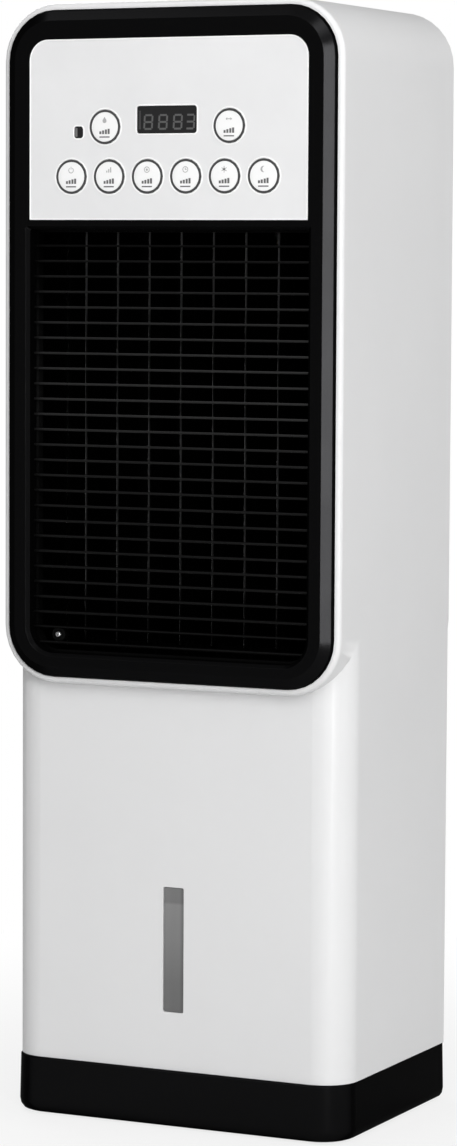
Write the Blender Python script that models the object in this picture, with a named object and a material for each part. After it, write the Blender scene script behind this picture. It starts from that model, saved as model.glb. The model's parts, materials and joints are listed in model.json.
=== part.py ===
"""Tower evaporative air cooler in metres. The front faces -Y and the feet stand on Z = 0."""

import math

import bmesh
import bpy

# Overall size
WIDTH = 0.260
HEIGHT = 0.7824
DEPTH = 0.200
WALL = 0.0025
GAP = 0.0003
RUNNING_GAP = 0.0006

# Depths behind the bezel's front face
RIM_DEPTH = 0.0067
LOWER_FRONT_DEPTH = 0.0158
PLINTH_FRONT_DEPTH = 0.0140
REAR_RETURN = 0.0033

# Plinth and feet
FOOT_HEIGHT = 0.001
FOOT_RADIUS = 0.009
FOOT_INSET = 0.024
FOOT_STEM_RADIUS = 0.003
FOOT_STEM_LENGTH = 0.004
PLINTH_TOP = 0.0408
PLINTH_STEP = 0.0007
PLINTH_FLARE = 0.0014
PLINTH_WALL = 0.003
PLINTH_EDGE = 0.0055
PLINTH_EDGE_RISE = 0.0075
PLINTH_LAND = 0.0015
PLINTH_REAR_RADIUS = 0.006
EDGE_STEPS = 3
RUNNER_HEIGHT = 0.002
RUNNER_WIDTH = 0.005
RUNNER_INSET = 0.050

# Head and its corners
HEAD_BOTTOM = 0.3096
HEAD_RADIUS = 0.0397
LOWER_RADIUS = 0.025
REAR_RADIUS = 0.002
SHARP_RADIUS = 0.0005
HOLLOW_STEPS = 4
RIM_WIDTH = 0.00475
RIM_EDGE = 0.0035

# Bezel
BEZEL_SEAT = 0.005
LEDGE_WIDTH = 0.005
LEDGE_THICKNESS = 0.003
CHAMFER_WIDTH = 0.0066
CHAMFER_DEPTH = 0.0042
SKIRT_WIDTH = 0.0009
INNER_CHAMFER = 0.0025
BORDER = 0.01855
CROSS_BAR = 0.0064
FACE_THICKNESS = 0.0025
GROOVE_MARGIN = 0.0012

# Control panel
PANEL_RECESS = 0.0008
PANEL_THICKNESS = 0.0025
PANEL_TOP_DROP = 0.0249
PANEL_HEIGHT = 0.1247
PANEL_RADIUS = 0.0145
PANEL_LEDGE = 0.004
KEY_RADIUS = 0.0117
KEY_PROUD = 0.0006
KEY_TRAVEL = 0.001
KEY_FLANGE = 0.0014
KEY_FLANGE_THICKNESS = 0.001
KEY_STEM_RADIUS = 0.003
KEY_STEM_LENGTH = 0.0045
KEY_PITCH = 0.0294
KEY_ROW_RISE = 0.0300
KEY_UPPER_RISE = 0.0640
KEY_UPPER_OFFSET = 0.0475
LOWER_KEYS = ("power", "speed", "mode", "timer", "cool", "night")
DISPLAY_WIDTH = 0.0452
DISPLAY_HEIGHT = 0.0182
DISPLAY_RISE = 0.0686
IR_WIDTH = 0.0064
IR_HEIGHT = 0.0075
IR_OFFSET = -0.0680
IR_RISE = 0.0605
LENS_RADIUS = 0.0010
LENS_THICKNESS = 0.0020
BOARD_THICKNESS = 0.0016
BOARD_MARGIN = 0.0185
BOARD_HEIGHT = 0.084
BOARD_POST_RADIUS = 0.003
BOARD_POST_INSET = 0.006
SWITCH_HEIGHT = 0.004
SWITCH_SIDE = 0.006

# Outlet grille
OPENING_RISE = 0.0218
OPENING_RADIUS = 0.018
OPENING_TOP_RADIUS = 0.0010
SLAT_COUNT = 27
FIRST_SLAT_DROP = 0.0111
LAST_SLAT_RISE = 0.00687
SLAT_THICKNESS = 0.0016
SLAT_FRONT_DEPTH = 0.0075
GRILLE_BACK_DEPTH = 0.0185
GRILLE_FLANGE = 0.0070
GRILLE_LIP = 0.0016
BOSS_SINK = 0.0007
BOSS_INSET = 0.0174
SCREW_HEAD_RADIUS = 0.0026
SCREW_HEAD_HEIGHT = 0.0018
SCREW_DOME = ((0.9, 0.6), (0.55, 1.0))

# Outlet duct and swing vanes
DUCT_WALL = 0.002
DUCT_DEPTH = 0.038
VANE_COUNT = 7
VANE_SIDE_ROOM = 0.0326
VANE_CHORD = 0.022
VANE_THICKNESS = 0.0018
VANE_PIVOT_DEPTH = 0.0345
VANE_END_GAP = 0.0010
VANE_FOOT_GAP = 0.0080
VANE_PIN_RADIUS = 0.0018
CRANK_RADIUS = 0.008
LINK_THICKNESS = 0.003
LINK_WIDTH = 0.0075
SWING_MOTOR_RADIUS = 0.014
SWING_MOTOR_HEIGHT = 0.017

# Air path, fan and its motor
DECK_DROP = 0.029
DECK_THICKNESS = 0.003
ROOF_THICKNESS = 0.003
FAN_FRONT_ROOM = 0.0042
FAN_BACK_ROOM = 0.0090
FAN_FLOOR_GAP = 0.010
FAN_ROOF_GAP = 0.012
FAN_DISC_THICKNESS = 0.002
FAN_BLADES = 16
BLADE_THICKNESS = 0.0014
BLADE_WIDTH = 0.0105
BLADE_SWEEP_ANGLE = math.radians(14)
BLADE_STEPS = 2
SHAFT_RADIUS = 0.004
SHAFT_REACH = 0.008
HUB_RADIUS = 0.009
HUB_HEIGHT = 0.010
HUB_TOP_RADIUS = 0.00765
BUSH_RADIUS = 0.010
BUSH_HEIGHT = 0.009
BUSH_NECK_RADIUS = 0.007
SCROLL_CLEARANCE = 0.004
SCROLL_GROWTH = 0.012
SCROLL_THICKNESS = 0.002
SCROLL_START_ANGLE = 78
SCROLL_END_ANGLE = 196
SCROLL_STEPS = 10
TONGUE_RADIUS = 0.005
TONGUE_ANGLE = -12
MOTOR_RADIUS = 0.038
MOTOR_HEIGHT = 0.042
MOTOR_FLANGE_RADIUS = 0.046
MOTOR_FLANGE_THICKNESS = 0.003

# Wet pad and water way
PAD_SIDE_ROOM = 0.0295
PAD_RISE = 0.030
PAD_TOP_DROP = 0.002
PAD_REAR_ROOM = 0.0157
PAD_THICKNESS = 0.022
PAD_FRAME_WALL = 0.002
TRAY_HEIGHT = 0.014
PIPE_RADIUS = 0.004
PIPE_WALL = 0.001
PIPE_SIDE_ROOM = 0.010
PIPE_INSET = 0.010
ELBOW_STEPS = 5
DRIP_HOLES = 7

# Tank
TANK_DROP = 0.095
TANK_WALL = 0.0025
TANK_SIDE_GAP = 0.004
TANK_FRONT_GAP = 0.003
TANK_FACE_THICKNESS = 0.003
TANK_GRIP_WIDTH = 0.090
TANK_GRIP_HEIGHT = 0.026
TANK_GRIP_DEPTH = 0.022
TANK_GRIP_DROP = 0.018
GRIP_RADIUS = 0.004
PUMP_LENGTH = 0.046
PUMP_WIDTH = 0.040
PUMP_HEIGHT = 0.036
PUMP_RIB_PLACES = (-0.0115, -0.0046, 0.0046, 0.0115)
SOFT_RADIUS = 0.006
LEVEL_WIDTH = 0.0160
LEVEL_BOTTOM = 0.0821
LEVEL_TOP = 0.1702
LEVEL_RECESS = 0.0008

# Rear
REAR_RECESS = 0.001
REAR_THICKNESS = 0.0025
INTAKE_SIDE = 0.027
INTAKE_RISE = 0.022
INTAKE_OVER = 0.010
INTAKE_RADIUS = 0.008
DOOR_FRAME = 0.010
DOOR_THICKNESS = 0.005
DOOR_BARS = 13
DOOR_BAR_HEIGHT = 0.0026
DOOR_PIN_RADIUS = 0.002
DOOR_COLLAR = 0.004
DOOR_PIN_LENGTH = 0.0032
NET_THICKNESS = 0.0012
HAND_WIDTH = 0.104
HAND_HEIGHT = 0.030
HAND_DEPTH = 0.020
HAND_DROP = 0.080
HAND_WALL = 0.002
LATCH_LENGTH = 0.030
LATCH_WIDTH = 0.012
LATCH_THICKNESS = 0.0025
LATCH_PIN_RADIUS = 0.003
LATCH_RISE = 0.010
GLAND_RADIUS = 0.006
GLAND_FLANGE_RADIUS = 0.009
GLAND_FLANGE_HEIGHT = 0.0024
GLAND_RIM_RADIUS = 0.00765
GLAND_BORE_RADIUS = 0.0036
GLAND_INSET = 0.035
GLAND_RISE = 0.030
REAR_SCREW_INSET = 0.016
REAR_SCREW_RISE = 0.057
REAR_SCREW_DROP = 0.060
SCREW_HOLE = 0.0017
POWER_BOARD_WIDTH = 0.110
POWER_BOARD_DEPTH = 0.070
POWER_BOARD_THICKNESS = 0.0016
POWER_BOARD_LIFT = 0.006
# Shares of half the board: left, right, front, back and height, then a can's x, y, radius and height
COIL_SHARES = (-0.8, -0.3, -0.5, 0.4, 0.8)
RELAY_SHARES = (0.1, 0.4, -0.6, 0.1, 0.5)
CAPACITOR_SHARES = (0.65, 0.3, 0.2, 0.7)

# Curve fineness
CORNER_STEPS = 8
ROUND_SIDES = 20
KEY_SIDES = 16
MEDIUM_SIDES = 12
SMALL_SIDES = 8
PIN_SIDES = 6
SMALL_STEPS = 2
FINE_STEPS = (SMALL_STEPS,) * 4
SOFT_STEPS = (3,) * 4
FRONT_STEPS = (CORNER_STEPS, CORNER_STEPS, SMALL_STEPS, SMALL_STEPS)
TOP_STEPS = (SMALL_STEPS, SMALL_STEPS, CORNER_STEPS, CORNER_STEPS)
INTAKE_STEPS = (4,) * 4

# Places that follow from the sizes above
FRONT_Y = -DEPTH / 2
BACK_Y = DEPTH / 2
HALF = WIDTH / 2
SHELL_BACK_Y = BACK_Y - REAR_RETURN
RIM_Y = FRONT_Y + RIM_DEPTH
LOWER_Y = FRONT_Y + LOWER_FRONT_DEPTH
BEZEL_HALF = HALF - RIM_WIDTH
BEZEL_BOTTOM = HEAD_BOTTOM + RIM_WIDTH
BEZEL_TOP = HEIGHT - RIM_WIDTH
BEZEL_RADIUS = HEAD_RADIUS - RIM_WIDTH
BEZEL_BACK_Y = RIM_Y + BEZEL_SEAT
OPENING_HALF = BEZEL_HALF - BORDER
PANEL_TOP = HEIGHT - PANEL_TOP_DROP
PANEL_BOTTOM = PANEL_TOP - PANEL_HEIGHT
KEY_ROW_HEIGHT = PANEL_BOTTOM + KEY_ROW_RISE
KEY_UPPER_HEIGHT = PANEL_BOTTOM + KEY_UPPER_RISE
DISPLAY_CENTRE_HEIGHT = PANEL_BOTTOM + DISPLAY_RISE
IR_CENTRE_HEIGHT = PANEL_BOTTOM + IR_RISE
BOARD_WIDTH = KEY_PITCH * (len(LOWER_KEYS) - 1) + 2 * BOARD_MARGIN
OPENING_BOTTOM = HEAD_BOTTOM + OPENING_RISE
OPENING_TOP = PANEL_BOTTOM - CROSS_BAR
FIRST_SLAT = OPENING_TOP - FIRST_SLAT_DROP
SLAT_PITCH = (FIRST_SLAT - OPENING_BOTTOM - LAST_SLAT_RISE) / (SLAT_COUNT - 1)
BOSS_OFFSET = BOSS_INSET - OPENING_HALF
BOSS_RADIUS = (SLAT_PITCH - SLAT_THICKNESS) / 2 + BOSS_SINK
LEDGE_Y = BEZEL_BACK_Y + GAP
CAVITY_Y = LEDGE_Y + LEDGE_THICKNESS
PANEL_Y = FRONT_Y + PANEL_RECESS
PANEL_BACK_Y = PANEL_Y + PANEL_THICKNESS
GRILLE_BACK_Y = FRONT_Y + GRILLE_BACK_DEPTH
DUCT_Y = GRILLE_BACK_Y + GAP
DUCT_BACK_Y = DUCT_Y + DUCT_DEPTH
VANE_Y = FRONT_Y + VANE_PIVOT_DEPTH
VANE_PITCH = 2 * (OPENING_HALF - VANE_SIDE_ROOM) / (VANE_COUNT - 1)
DUCT_FLOOR = OPENING_BOTTOM
DECK_TOP = OPENING_BOTTOM - DECK_DROP
ROOF_BOTTOM = OPENING_TOP + DUCT_WALL + GAP
FAN_BOTTOM = DECK_TOP + FAN_FLOOR_GAP
FAN_TOP = ROOF_BOTTOM - FAN_ROOF_GAP
REAR_Y = SHELL_BACK_Y - REAR_RECESS - REAR_THICKNESS
REAR_FACE_Y = REAR_Y + REAR_THICKNESS
INNER_HALF = HALF - WALL
PAD_HALF = INNER_HALF - PAD_SIDE_ROOM
PAD_BACK_Y = REAR_FACE_Y - PAD_REAR_ROOM
PAD_Y = PAD_BACK_Y - PAD_THICKNESS
PAD_BOTTOM = DECK_TOP + PAD_RISE
PAD_TOP = OPENING_TOP - PAD_TOP_DROP
PIPE_OFFSET = PAD_HALF + PIPE_SIDE_ROOM
PIPE_Y = PAD_Y + PIPE_INSET
FAN_RADIUS = (PAD_Y - DUCT_BACK_Y - FAN_FRONT_ROOM - FAN_BACK_ROOM) / 2
FAN_Y = DUCT_BACK_Y + FAN_FRONT_ROOM + FAN_RADIUS
TANK_TOP = DECK_TOP - TANK_DROP
TANK_BOTTOM = PLINTH_TOP + RUNNER_HEIGHT + GAP
TANK_FACE_Y = REAR_FACE_Y - TANK_FACE_THICKNESS
HOUSING_BOTTOM = PLINTH_TOP + GAP

# Shape helpers

AXES = {
    "X": lambda u, v, level: (level, u, v),
    "Y": lambda u, v, level: (u, level, v),
    "Z": lambda u, v, level: (u, v, level),
}


def arc(centre, radius, start, end, steps):
    """Points of an arc, with angles in degrees."""
    angles = [math.radians(start + (end - start) * i / steps) for i in range(steps + 1)]
    return [(centre[0] + radius * math.cos(a), centre[1] + radius * math.sin(a)) for a in angles]


def rounded(u0, u1, v0, v1, radii, steps=(CORNER_STEPS,) * 4):
    """Rectangle with corner radii and arc steps given from low-left, counter-clockwise."""
    corners = [(u0, v0, 1, 1, 180), (u1, v0, -1, 1, 270), (u1, v1, -1, -1, 0), (u0, v1, 1, -1, 90)]
    points = []
    for (u, v, du, dv, start), radius, count in zip(corners, radii, steps):
        if radius <= 0:
            points.append((u, v))
        else:
            centre = (u + du * radius, v + dv * radius)
            points += arc(centre, radius, start, start + 90, count)
    return points


def circle(u, v, radius, sides=ROUND_SIDES):
    return arc((u, v), radius, 0, 360 - 360 / sides, sides - 1)


def ellipse(u, v, half_u, half_v, sides=SMALL_SIDES):
    return [(u + half_u * p[0], v + half_v * p[1]) for p in circle(0, 0, 1, sides)]


def ribbon(path, thickness):
    """Outline of a wall of even thickness along a path."""
    left, right = [], []
    for i, point in enumerate(path):
        before, after = path[max(i - 1, 0)], path[min(i + 1, len(path) - 1)]
        run = (after[0] - before[0], after[1] - before[1])
        scale = thickness / 2 / math.hypot(*run)
        left.append((point[0] - run[1] * scale, point[1] + run[0] * scale))
        right.append((point[0] + run[1] * scale, point[1] - run[0] * scale))
    return left + right[::-1]


def edge_profile():
    """Shares of a rounded edge's inset and depth, from its flat face to its side."""
    turns = [math.pi / 2 * i / EDGE_STEPS for i in range(EDGE_STEPS + 1)]
    return [(1 - math.sin(turn), 1 - math.cos(turn)) for turn in turns]


def loft(sections, axis="Z"):
    """Closed piece through outlines of equal point count, given as (outline, level)."""
    piece = bmesh.new()
    place = AXES[axis]
    rings = [[piece.verts.new(place(u, v, level)) for u, v in outline] for outline, level in sections]
    for low, high in zip(rings, rings[1:]):
        for i in range(len(low)):
            j = (i + 1) % len(low)
            piece.faces.new((low[i], low[j], high[j], high[i]))
    piece.faces.new(rings[0][::-1])
    piece.faces.new(rings[-1])
    bmesh.ops.recalc_face_normals(piece, faces=piece.faces)
    return piece


def prism(outline, low, high, axis="Z"):
    return loft([(outline, low), (outline, high)], axis)


def block(x, y, z):
    return prism([(x[0], y[0]), (x[1], y[0]), (x[1], y[1]), (x[0], y[1])], z[0], z[1])


def rod(u, v, radius, low, high, axis="Z", sides=ROUND_SIDES):
    return prism(circle(u, v, radius, sides), low, high, axis)


def turned(u, v, profile, axis="Z", sides=ROUND_SIDES):
    """Round piece with a profile of (radius, level) pairs."""
    return loft([(circle(u, v, radius, sides), level) for radius, level in profile], axis)


def frame_ring(outer, inner, low, high, axis="Y"):
    """Closed ring between two outlines of equal point count."""
    piece = bmesh.new()
    place = AXES[axis]
    loops = [(outer, low), (outer, high), (inner, high), (inner, low)]
    rings = [[piece.verts.new(place(u, v, level)) for u, v in outline] for outline, level in loops]
    for ring, following in zip(rings, rings[1:] + rings[:1]):
        for i in range(len(ring)):
            j = (i + 1) % len(ring)
            piece.faces.new((ring[i], ring[j], following[j], following[i]))
    bmesh.ops.recalc_face_normals(piece, faces=piece.faces)
    return piece


def material(name, colour, roughness, metallic=0.0):
    made = bpy.data.materials.new(name)
    made.use_nodes = True
    shader = made.node_tree.nodes["Principled BSDF"]
    shader.inputs["Base Color"].default_value = (*colour, 1.0)
    shader.inputs["Roughness"].default_value = roughness
    shader.inputs["Metallic"].default_value = metallic
    made.diffuse_color = (*colour, 1.0)
    return made


def joined_mesh(name, pieces, origin=(0, 0, 0)):
    mesh = bpy.data.meshes.new(name)
    whole = bmesh.new()
    for piece in pieces:
        part = bpy.data.meshes.new("part")
        piece.to_mesh(part)
        piece.free()
        whole.from_mesh(part)
        bpy.data.meshes.remove(part)
    bmesh.ops.translate(whole, verts=whole.verts, vec=[-c for c in origin])
    whole.to_mesh(mesh)
    whole.free()
    return mesh


def add_boolean(target, operation, pieces):
    """Hidden tool object with its Boolean on the target."""
    tool = bpy.data.objects.new(f"tool_{target.name}", joined_mesh("tool", pieces))
    bpy.context.scene.collection.objects.link(tool)
    tool.hide_render = True
    tool.display_type = "WIRE"
    modifier = target.modifiers.new(operation.lower(), "BOOLEAN")
    modifier.operation = operation
    modifier.solver = "EXACT"
    modifier.use_self = True
    modifier.object = tool


def make(name, pieces, finish, join=(), cut=(), origin=(0, 0, 0)):
    """One named part: its closed pieces, joined with more pieces and then cut."""
    mesh = joined_mesh(name, pieces, origin)
    mesh.materials.append(finish)
    mesh.shade_smooth()
    mesh.set_sharp_from_angle(angle=math.radians(32))
    part = bpy.data.objects.new(name, mesh)
    part.location = origin
    bpy.context.scene.collection.objects.link(part)
    if join:
        add_boolean(part, "UNION", join)
    if cut:
        add_boolean(part, "DIFFERENCE", cut)
    return part


def outline_grown(grow, bottom, top, radius, half):
    """Upright rounded outline of the head, moved outwards by grow."""
    corner = radius + grow
    return rounded(-half - grow, half + grow, bottom - grow, top + grow, [corner] * 4)


def plan_outline(inset, front, back):
    """Plan of the lower body, moved inwards by inset."""
    front_corner, back_corner = LOWER_RADIUS - inset, max(REAR_RADIUS - inset, 0)
    half = HALF - inset
    return rounded(-half, half, front, back, [front_corner, front_corner, back_corner, back_corner],
                   FRONT_STEPS)


def head_outline(grow=0.0):
    return outline_grown(grow, HEAD_BOTTOM, HEIGHT, HEAD_RADIUS, HALF)


def bezel_outline(grow=0.0):
    return outline_grown(grow, BEZEL_BOTTOM, BEZEL_TOP, BEZEL_RADIUS, BEZEL_HALF)


def panel_outline(grow=0.0):
    corner = PANEL_RADIUS + grow
    half = OPENING_HALF + grow
    radii = [SHARP_RADIUS, SHARP_RADIUS, corner, corner]
    return rounded(-half, half, PANEL_BOTTOM - grow, PANEL_TOP + grow, radii, TOP_STEPS)


def grille_outline(grow=0.0):
    corner = OPENING_RADIUS + grow
    half = OPENING_HALF + grow
    radii = [corner, corner, OPENING_TOP_RADIUS, OPENING_TOP_RADIUS]
    return rounded(-half, half, OPENING_BOTTOM - grow, OPENING_TOP + grow, radii, FRONT_STEPS)


# Finishes

def finishes():
    return {
        "white": material("white_shell", (0.80, 0.80, 0.81), 0.35),
        "silver": material("silver_panel", (0.78, 0.78, 0.79), 0.42),
        "black": material("black_gloss", (0.012, 0.012, 0.013), 0.18),
        "dark": material("dark_inner", (0.020, 0.020, 0.021), 0.45),
        "cap": material("key_cap", (0.86, 0.86, 0.86), 0.30),
        "lens": material("dark_lens", (0.03, 0.03, 0.032), 0.10),
        "smoke": material("smoke_window", (0.42, 0.43, 0.44), 0.20),
        "green": material("circuit_board", (0.02, 0.16, 0.07), 0.50),
        "steel": material("steel", (0.62, 0.62, 0.63), 0.25, 1.0),
        "zinc": material("motor_can", (0.55, 0.56, 0.57), 0.38, 1.0),
        "rubber": material("rubber", (0.03, 0.03, 0.03), 0.85),
        "pad": material("wet_pad", (0.33, 0.25, 0.14), 0.95),
        "tank": material("tank_plastic", (0.66, 0.69, 0.72), 0.30),
        "grey": material("grey_plastic", (0.55, 0.56, 0.57), 0.50),
    }


# Base and shell

def plinth_outline(grow, back, front_steps=CORNER_STEPS):
    front = FRONT_Y + PLINTH_FRONT_DEPTH - grow
    half = HALF - PLINTH_STEP + grow
    front_corner = LOWER_RADIUS + grow
    back_corner = PLINTH_REAR_RADIUS + grow
    radii = [front_corner, front_corner, back_corner, back_corner]
    steps = (front_steps, front_steps, SMALL_STEPS, SMALL_STEPS)
    return rounded(-half, half, front, back + grow, radii, steps)


def foot_places():
    front = FRONT_Y + PLINTH_FRONT_DEPTH + FOOT_INSET
    back = BACK_Y - FOOT_INSET
    side = HALF - FOOT_INSET
    return [(x, y) for x in (-side, side) for y in (front, back)]


def base_plinth(finish):
    top_back = BACK_Y - PLINTH_FLARE
    rib = PLINTH_STEP
    sections = [
        (plinth_outline(PLINTH_FLARE - PLINTH_EDGE * inset, top_back), FOOT_HEIGHT + PLINTH_EDGE_RISE * rise)
        for inset, rise in edge_profile()
    ]
    sections += [
        (plinth_outline(rib, top_back), PLINTH_TOP - rib),
        (plinth_outline(0, top_back), PLINTH_TOP),
    ]
    body = loft(sections)
    deck = PLINTH_TOP - PLINTH_WALL
    hollow_grow = PLINTH_FLARE - PLINTH_EDGE - PLINTH_LAND
    hollow = prism(plinth_outline(hollow_grow, top_back, HOLLOW_STEPS), -FOOT_HEIGHT, deck)
    bosses = [rod(x, y, FOOT_RADIUS + PLINTH_WALL, FOOT_HEIGHT, deck + rib, "Z", MEDIUM_SIDES)
              for x, y in foot_places()]
    runner_front = LOWER_Y + WALL + TANK_FRONT_GAP
    runners = [
        block((x - RUNNER_WIDTH / 2, x + RUNNER_WIDTH / 2),
              (runner_front, TANK_FACE_Y - RUNNING_GAP),
              (deck + rib, PLINTH_TOP + RUNNER_HEIGHT))
        for x in (RUNNER_INSET - HALF, HALF - RUNNER_INSET)
    ]
    pockets = [rod(x, y, FOOT_STEM_RADIUS + GAP, 0, FOOT_HEIGHT + FOOT_STEM_LENGTH + GAP, "Z", SMALL_SIDES)
               for x, y in foot_places()]
    shell = make("base_plinth", [body], finish, cut=[hollow])
    add_boolean(shell, "UNION", bosses + runners)
    add_boolean(shell, "DIFFERENCE", pockets)


def rubber_feet(finish):
    top = FOOT_HEIGHT - GAP
    pad = [(FOOT_RADIUS - top / 2, 0), (FOOT_RADIUS, top / 2), (FOOT_RADIUS, top)]
    for i, (x, y) in enumerate(foot_places()):
        stem = rod(x, y, FOOT_STEM_RADIUS, top / 2, FOOT_HEIGHT + FOOT_STEM_LENGTH, "Z", SMALL_SIDES)
        make(f"rubber_foot_{i + 1}", [turned(x, y, pad, sides=MEDIUM_SIDES)], finish, join=[stem])


def rear_screw_places():
    offset = HALF - REAR_SCREW_INSET
    levels = (TANK_TOP + REAR_SCREW_RISE, HEIGHT - REAR_SCREW_DROP)
    return [(x, z) for x in (-offset, offset) for z in levels]


def housing(finish):
    """Wrap of sides, top and lower front, with the proud head and its rim."""
    overlap = HEAD_BOTTOM + HEAD_RADIUS + LOWER_RADIUS
    rim = [(head_outline(-RIM_EDGE * inset), RIM_Y + RIM_EDGE * depth) for inset, depth in edge_profile()]
    head = loft(rim + [(head_outline(), SHELL_BACK_Y)], "Y")
    lower = prism(plan_outline(0, LOWER_Y, SHELL_BACK_Y), HOUSING_BOTTOM, overlap)
    shell = make("housing", [head], finish, join=[lower])
    head_hollow = prism(head_outline(-WALL), CAVITY_Y, BACK_Y + WALL, "Y")
    lower_hollow = prism(plan_outline(WALL, LOWER_Y + WALL, BACK_Y + WALL), 0, overlap - WALL)
    bezel_seat = prism(bezel_outline(GAP), FRONT_Y - WALL, LEDGE_Y, "Y")
    ledge_hole = prism(bezel_outline(-LEDGE_WIDTH), FRONT_Y, CAVITY_Y + WALL, "Y")
    half = LEVEL_WIDTH / 2
    slot = prism(rounded(-half, half, LEVEL_BOTTOM, LEVEL_TOP, [LENS_RADIUS] * 4, FINE_STEPS),
                 FRONT_Y, LOWER_Y + 2 * WALL, "Y")
    add_boolean(shell, "DIFFERENCE", [head_hollow, lower_hollow, bezel_seat, ledge_hole, slot])
    boss_half = WALL * 2
    bosses = []
    for x, z in rear_screw_places():
        inner = x - math.copysign(boss_half, x)
        outer = math.copysign(HALF - WALL / 2, x)
        bosses.append(block(sorted((inner, outer)), (REAR_Y - GAP - 6 * WALL, REAR_Y - GAP),
                            (z - boss_half, z + boss_half)))
    add_boolean(shell, "UNION", bosses)


def level_window(finish):
    half = LEVEL_WIDTH / 2 - GAP
    front = LOWER_Y + LEVEL_RECESS
    back = LOWER_Y + WALL + GAP
    lens = prism(rounded(-half, half, LEVEL_BOTTOM + GAP, LEVEL_TOP - GAP, [LENS_RADIUS] * 4, FINE_STEPS),
                 front, back + GAP, "Y")
    lip = half + WALL
    flange = block((-lip, lip), (back, back + WALL / 2), (LEVEL_BOTTOM - WALL, LEVEL_TOP + WALL))
    make("level_window", [lens], finish, join=[flange])


# Bezel, panel and controls

def front_bezel(finish):
    """Frame with a chamfered rim, a seat for the panel and a hollow back."""
    body = loft([
        (bezel_outline(), BEZEL_BACK_Y),
        (bezel_outline(), RIM_Y),
        (bezel_outline(-SKIRT_WIDTH), FRONT_Y + CHAMFER_DEPTH),
        (bezel_outline(-SKIRT_WIDTH - CHAMFER_WIDTH), FRONT_Y),
    ], "Y")
    seat = PANEL_BACK_Y + GAP
    front = FRONT_Y - WALL
    back = BEZEL_BACK_Y + WALL
    slope = loft([
        (grille_outline(INNER_CHAMFER * 2), FRONT_Y - INNER_CHAMFER),
        (grille_outline(), FRONT_Y + INNER_CHAMFER),
        (grille_outline(), back),
    ], "Y")
    panel_hole = prism(panel_outline(GAP), front, seat, "Y")
    panel_through = prism(panel_outline(-PANEL_LEDGE), front, back, "Y")
    bezel = make("front_bezel", [body], finish, cut=[slope, panel_hole, panel_through])
    groove_outer = bezel_outline(-SKIRT_WIDTH - CHAMFER_WIDTH)
    groove_inner = outline_grown(GROOVE_MARGIN + INNER_CHAMFER, OPENING_BOTTOM, PANEL_TOP,
                                 PANEL_RADIUS, OPENING_HALF)
    groove = frame_ring(groove_outer, groove_inner, FRONT_Y + FACE_THICKNESS, back, "Y")
    add_boolean(bezel, "DIFFERENCE", [groove])


def key_places():
    """Name and centre of each push button, lower row from the left, then the upper two."""
    start = -KEY_PITCH * (len(LOWER_KEYS) - 1) / 2
    places = [(name, start + KEY_PITCH * i, KEY_ROW_HEIGHT) for i, name in enumerate(LOWER_KEYS)]
    places.append(("fresh", -KEY_UPPER_OFFSET, KEY_UPPER_HEIGHT))
    places.append(("swing", KEY_UPPER_OFFSET, KEY_UPPER_HEIGHT))
    return places


KEY_BACK_Y = PANEL_BACK_Y + GAP + KEY_FLANGE_THICKNESS
STEM_END_Y = KEY_BACK_Y + KEY_STEM_LENGTH
SWITCH_Y = STEM_END_Y + KEY_TRAVEL + GAP
BOARD_Y = SWITCH_Y + SWITCH_HEIGHT
BOARD_CENTRE = (KEY_ROW_HEIGHT + KEY_UPPER_HEIGHT) / 2


def control_panel(finish):
    plate = prism(panel_outline(-GAP), PANEL_Y, PANEL_BACK_Y, "Y")
    front, back = PANEL_Y - WALL, PANEL_BACK_Y + WALL
    holes = [rod(x, z, KEY_RADIUS + GAP, front, back, "Y", KEY_SIDES) for name, x, z in key_places()]
    for x, z, width, height in (
        (0, DISPLAY_CENTRE_HEIGHT, DISPLAY_WIDTH, DISPLAY_HEIGHT),
        (IR_OFFSET, IR_CENTRE_HEIGHT, IR_WIDTH, IR_HEIGHT),
    ):
        holes.append(lens_piece(x, z, width / 2 + GAP, height / 2 + GAP, front, back))
    side = BOARD_WIDTH / 2 - BOARD_POST_INSET
    rise = BOARD_HEIGHT / 2 - BOARD_POST_INSET
    posts = [
        rod(x, BOARD_CENTRE + z, BOARD_POST_RADIUS, PANEL_BACK_Y - GAP, BOARD_Y - GAP, "Y", SMALL_SIDES)
        for x in (-side, side) for z in (-rise, rise)
    ]
    make("control_panel", [plate], finish, join=posts, cut=holes)


def lens_piece(x, z, half_width, half_height, front, back):
    outline = rounded(x - half_width, x + half_width, z - half_height, z + half_height,
                      [LENS_RADIUS] * 4, FINE_STEPS)
    return prism(outline, front, back, "Y")


def push_button(name, x, z, finish):
    face = PANEL_Y - KEY_PROUD
    flange = PANEL_BACK_Y + GAP
    profile = [
        (KEY_RADIUS - KEY_PROUD, face), (KEY_RADIUS, face + KEY_PROUD), (KEY_RADIUS, flange),
        (KEY_RADIUS + KEY_FLANGE, flange), (KEY_RADIUS + KEY_FLANGE, KEY_BACK_Y),
        (KEY_STEM_RADIUS, KEY_BACK_Y), (KEY_STEM_RADIUS, STEM_END_Y),
    ]
    key = make(f"button_{name}", [turned(0, 0, profile, "Y", KEY_SIDES)], finish)
    key.location = (x, 0, z)


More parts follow.
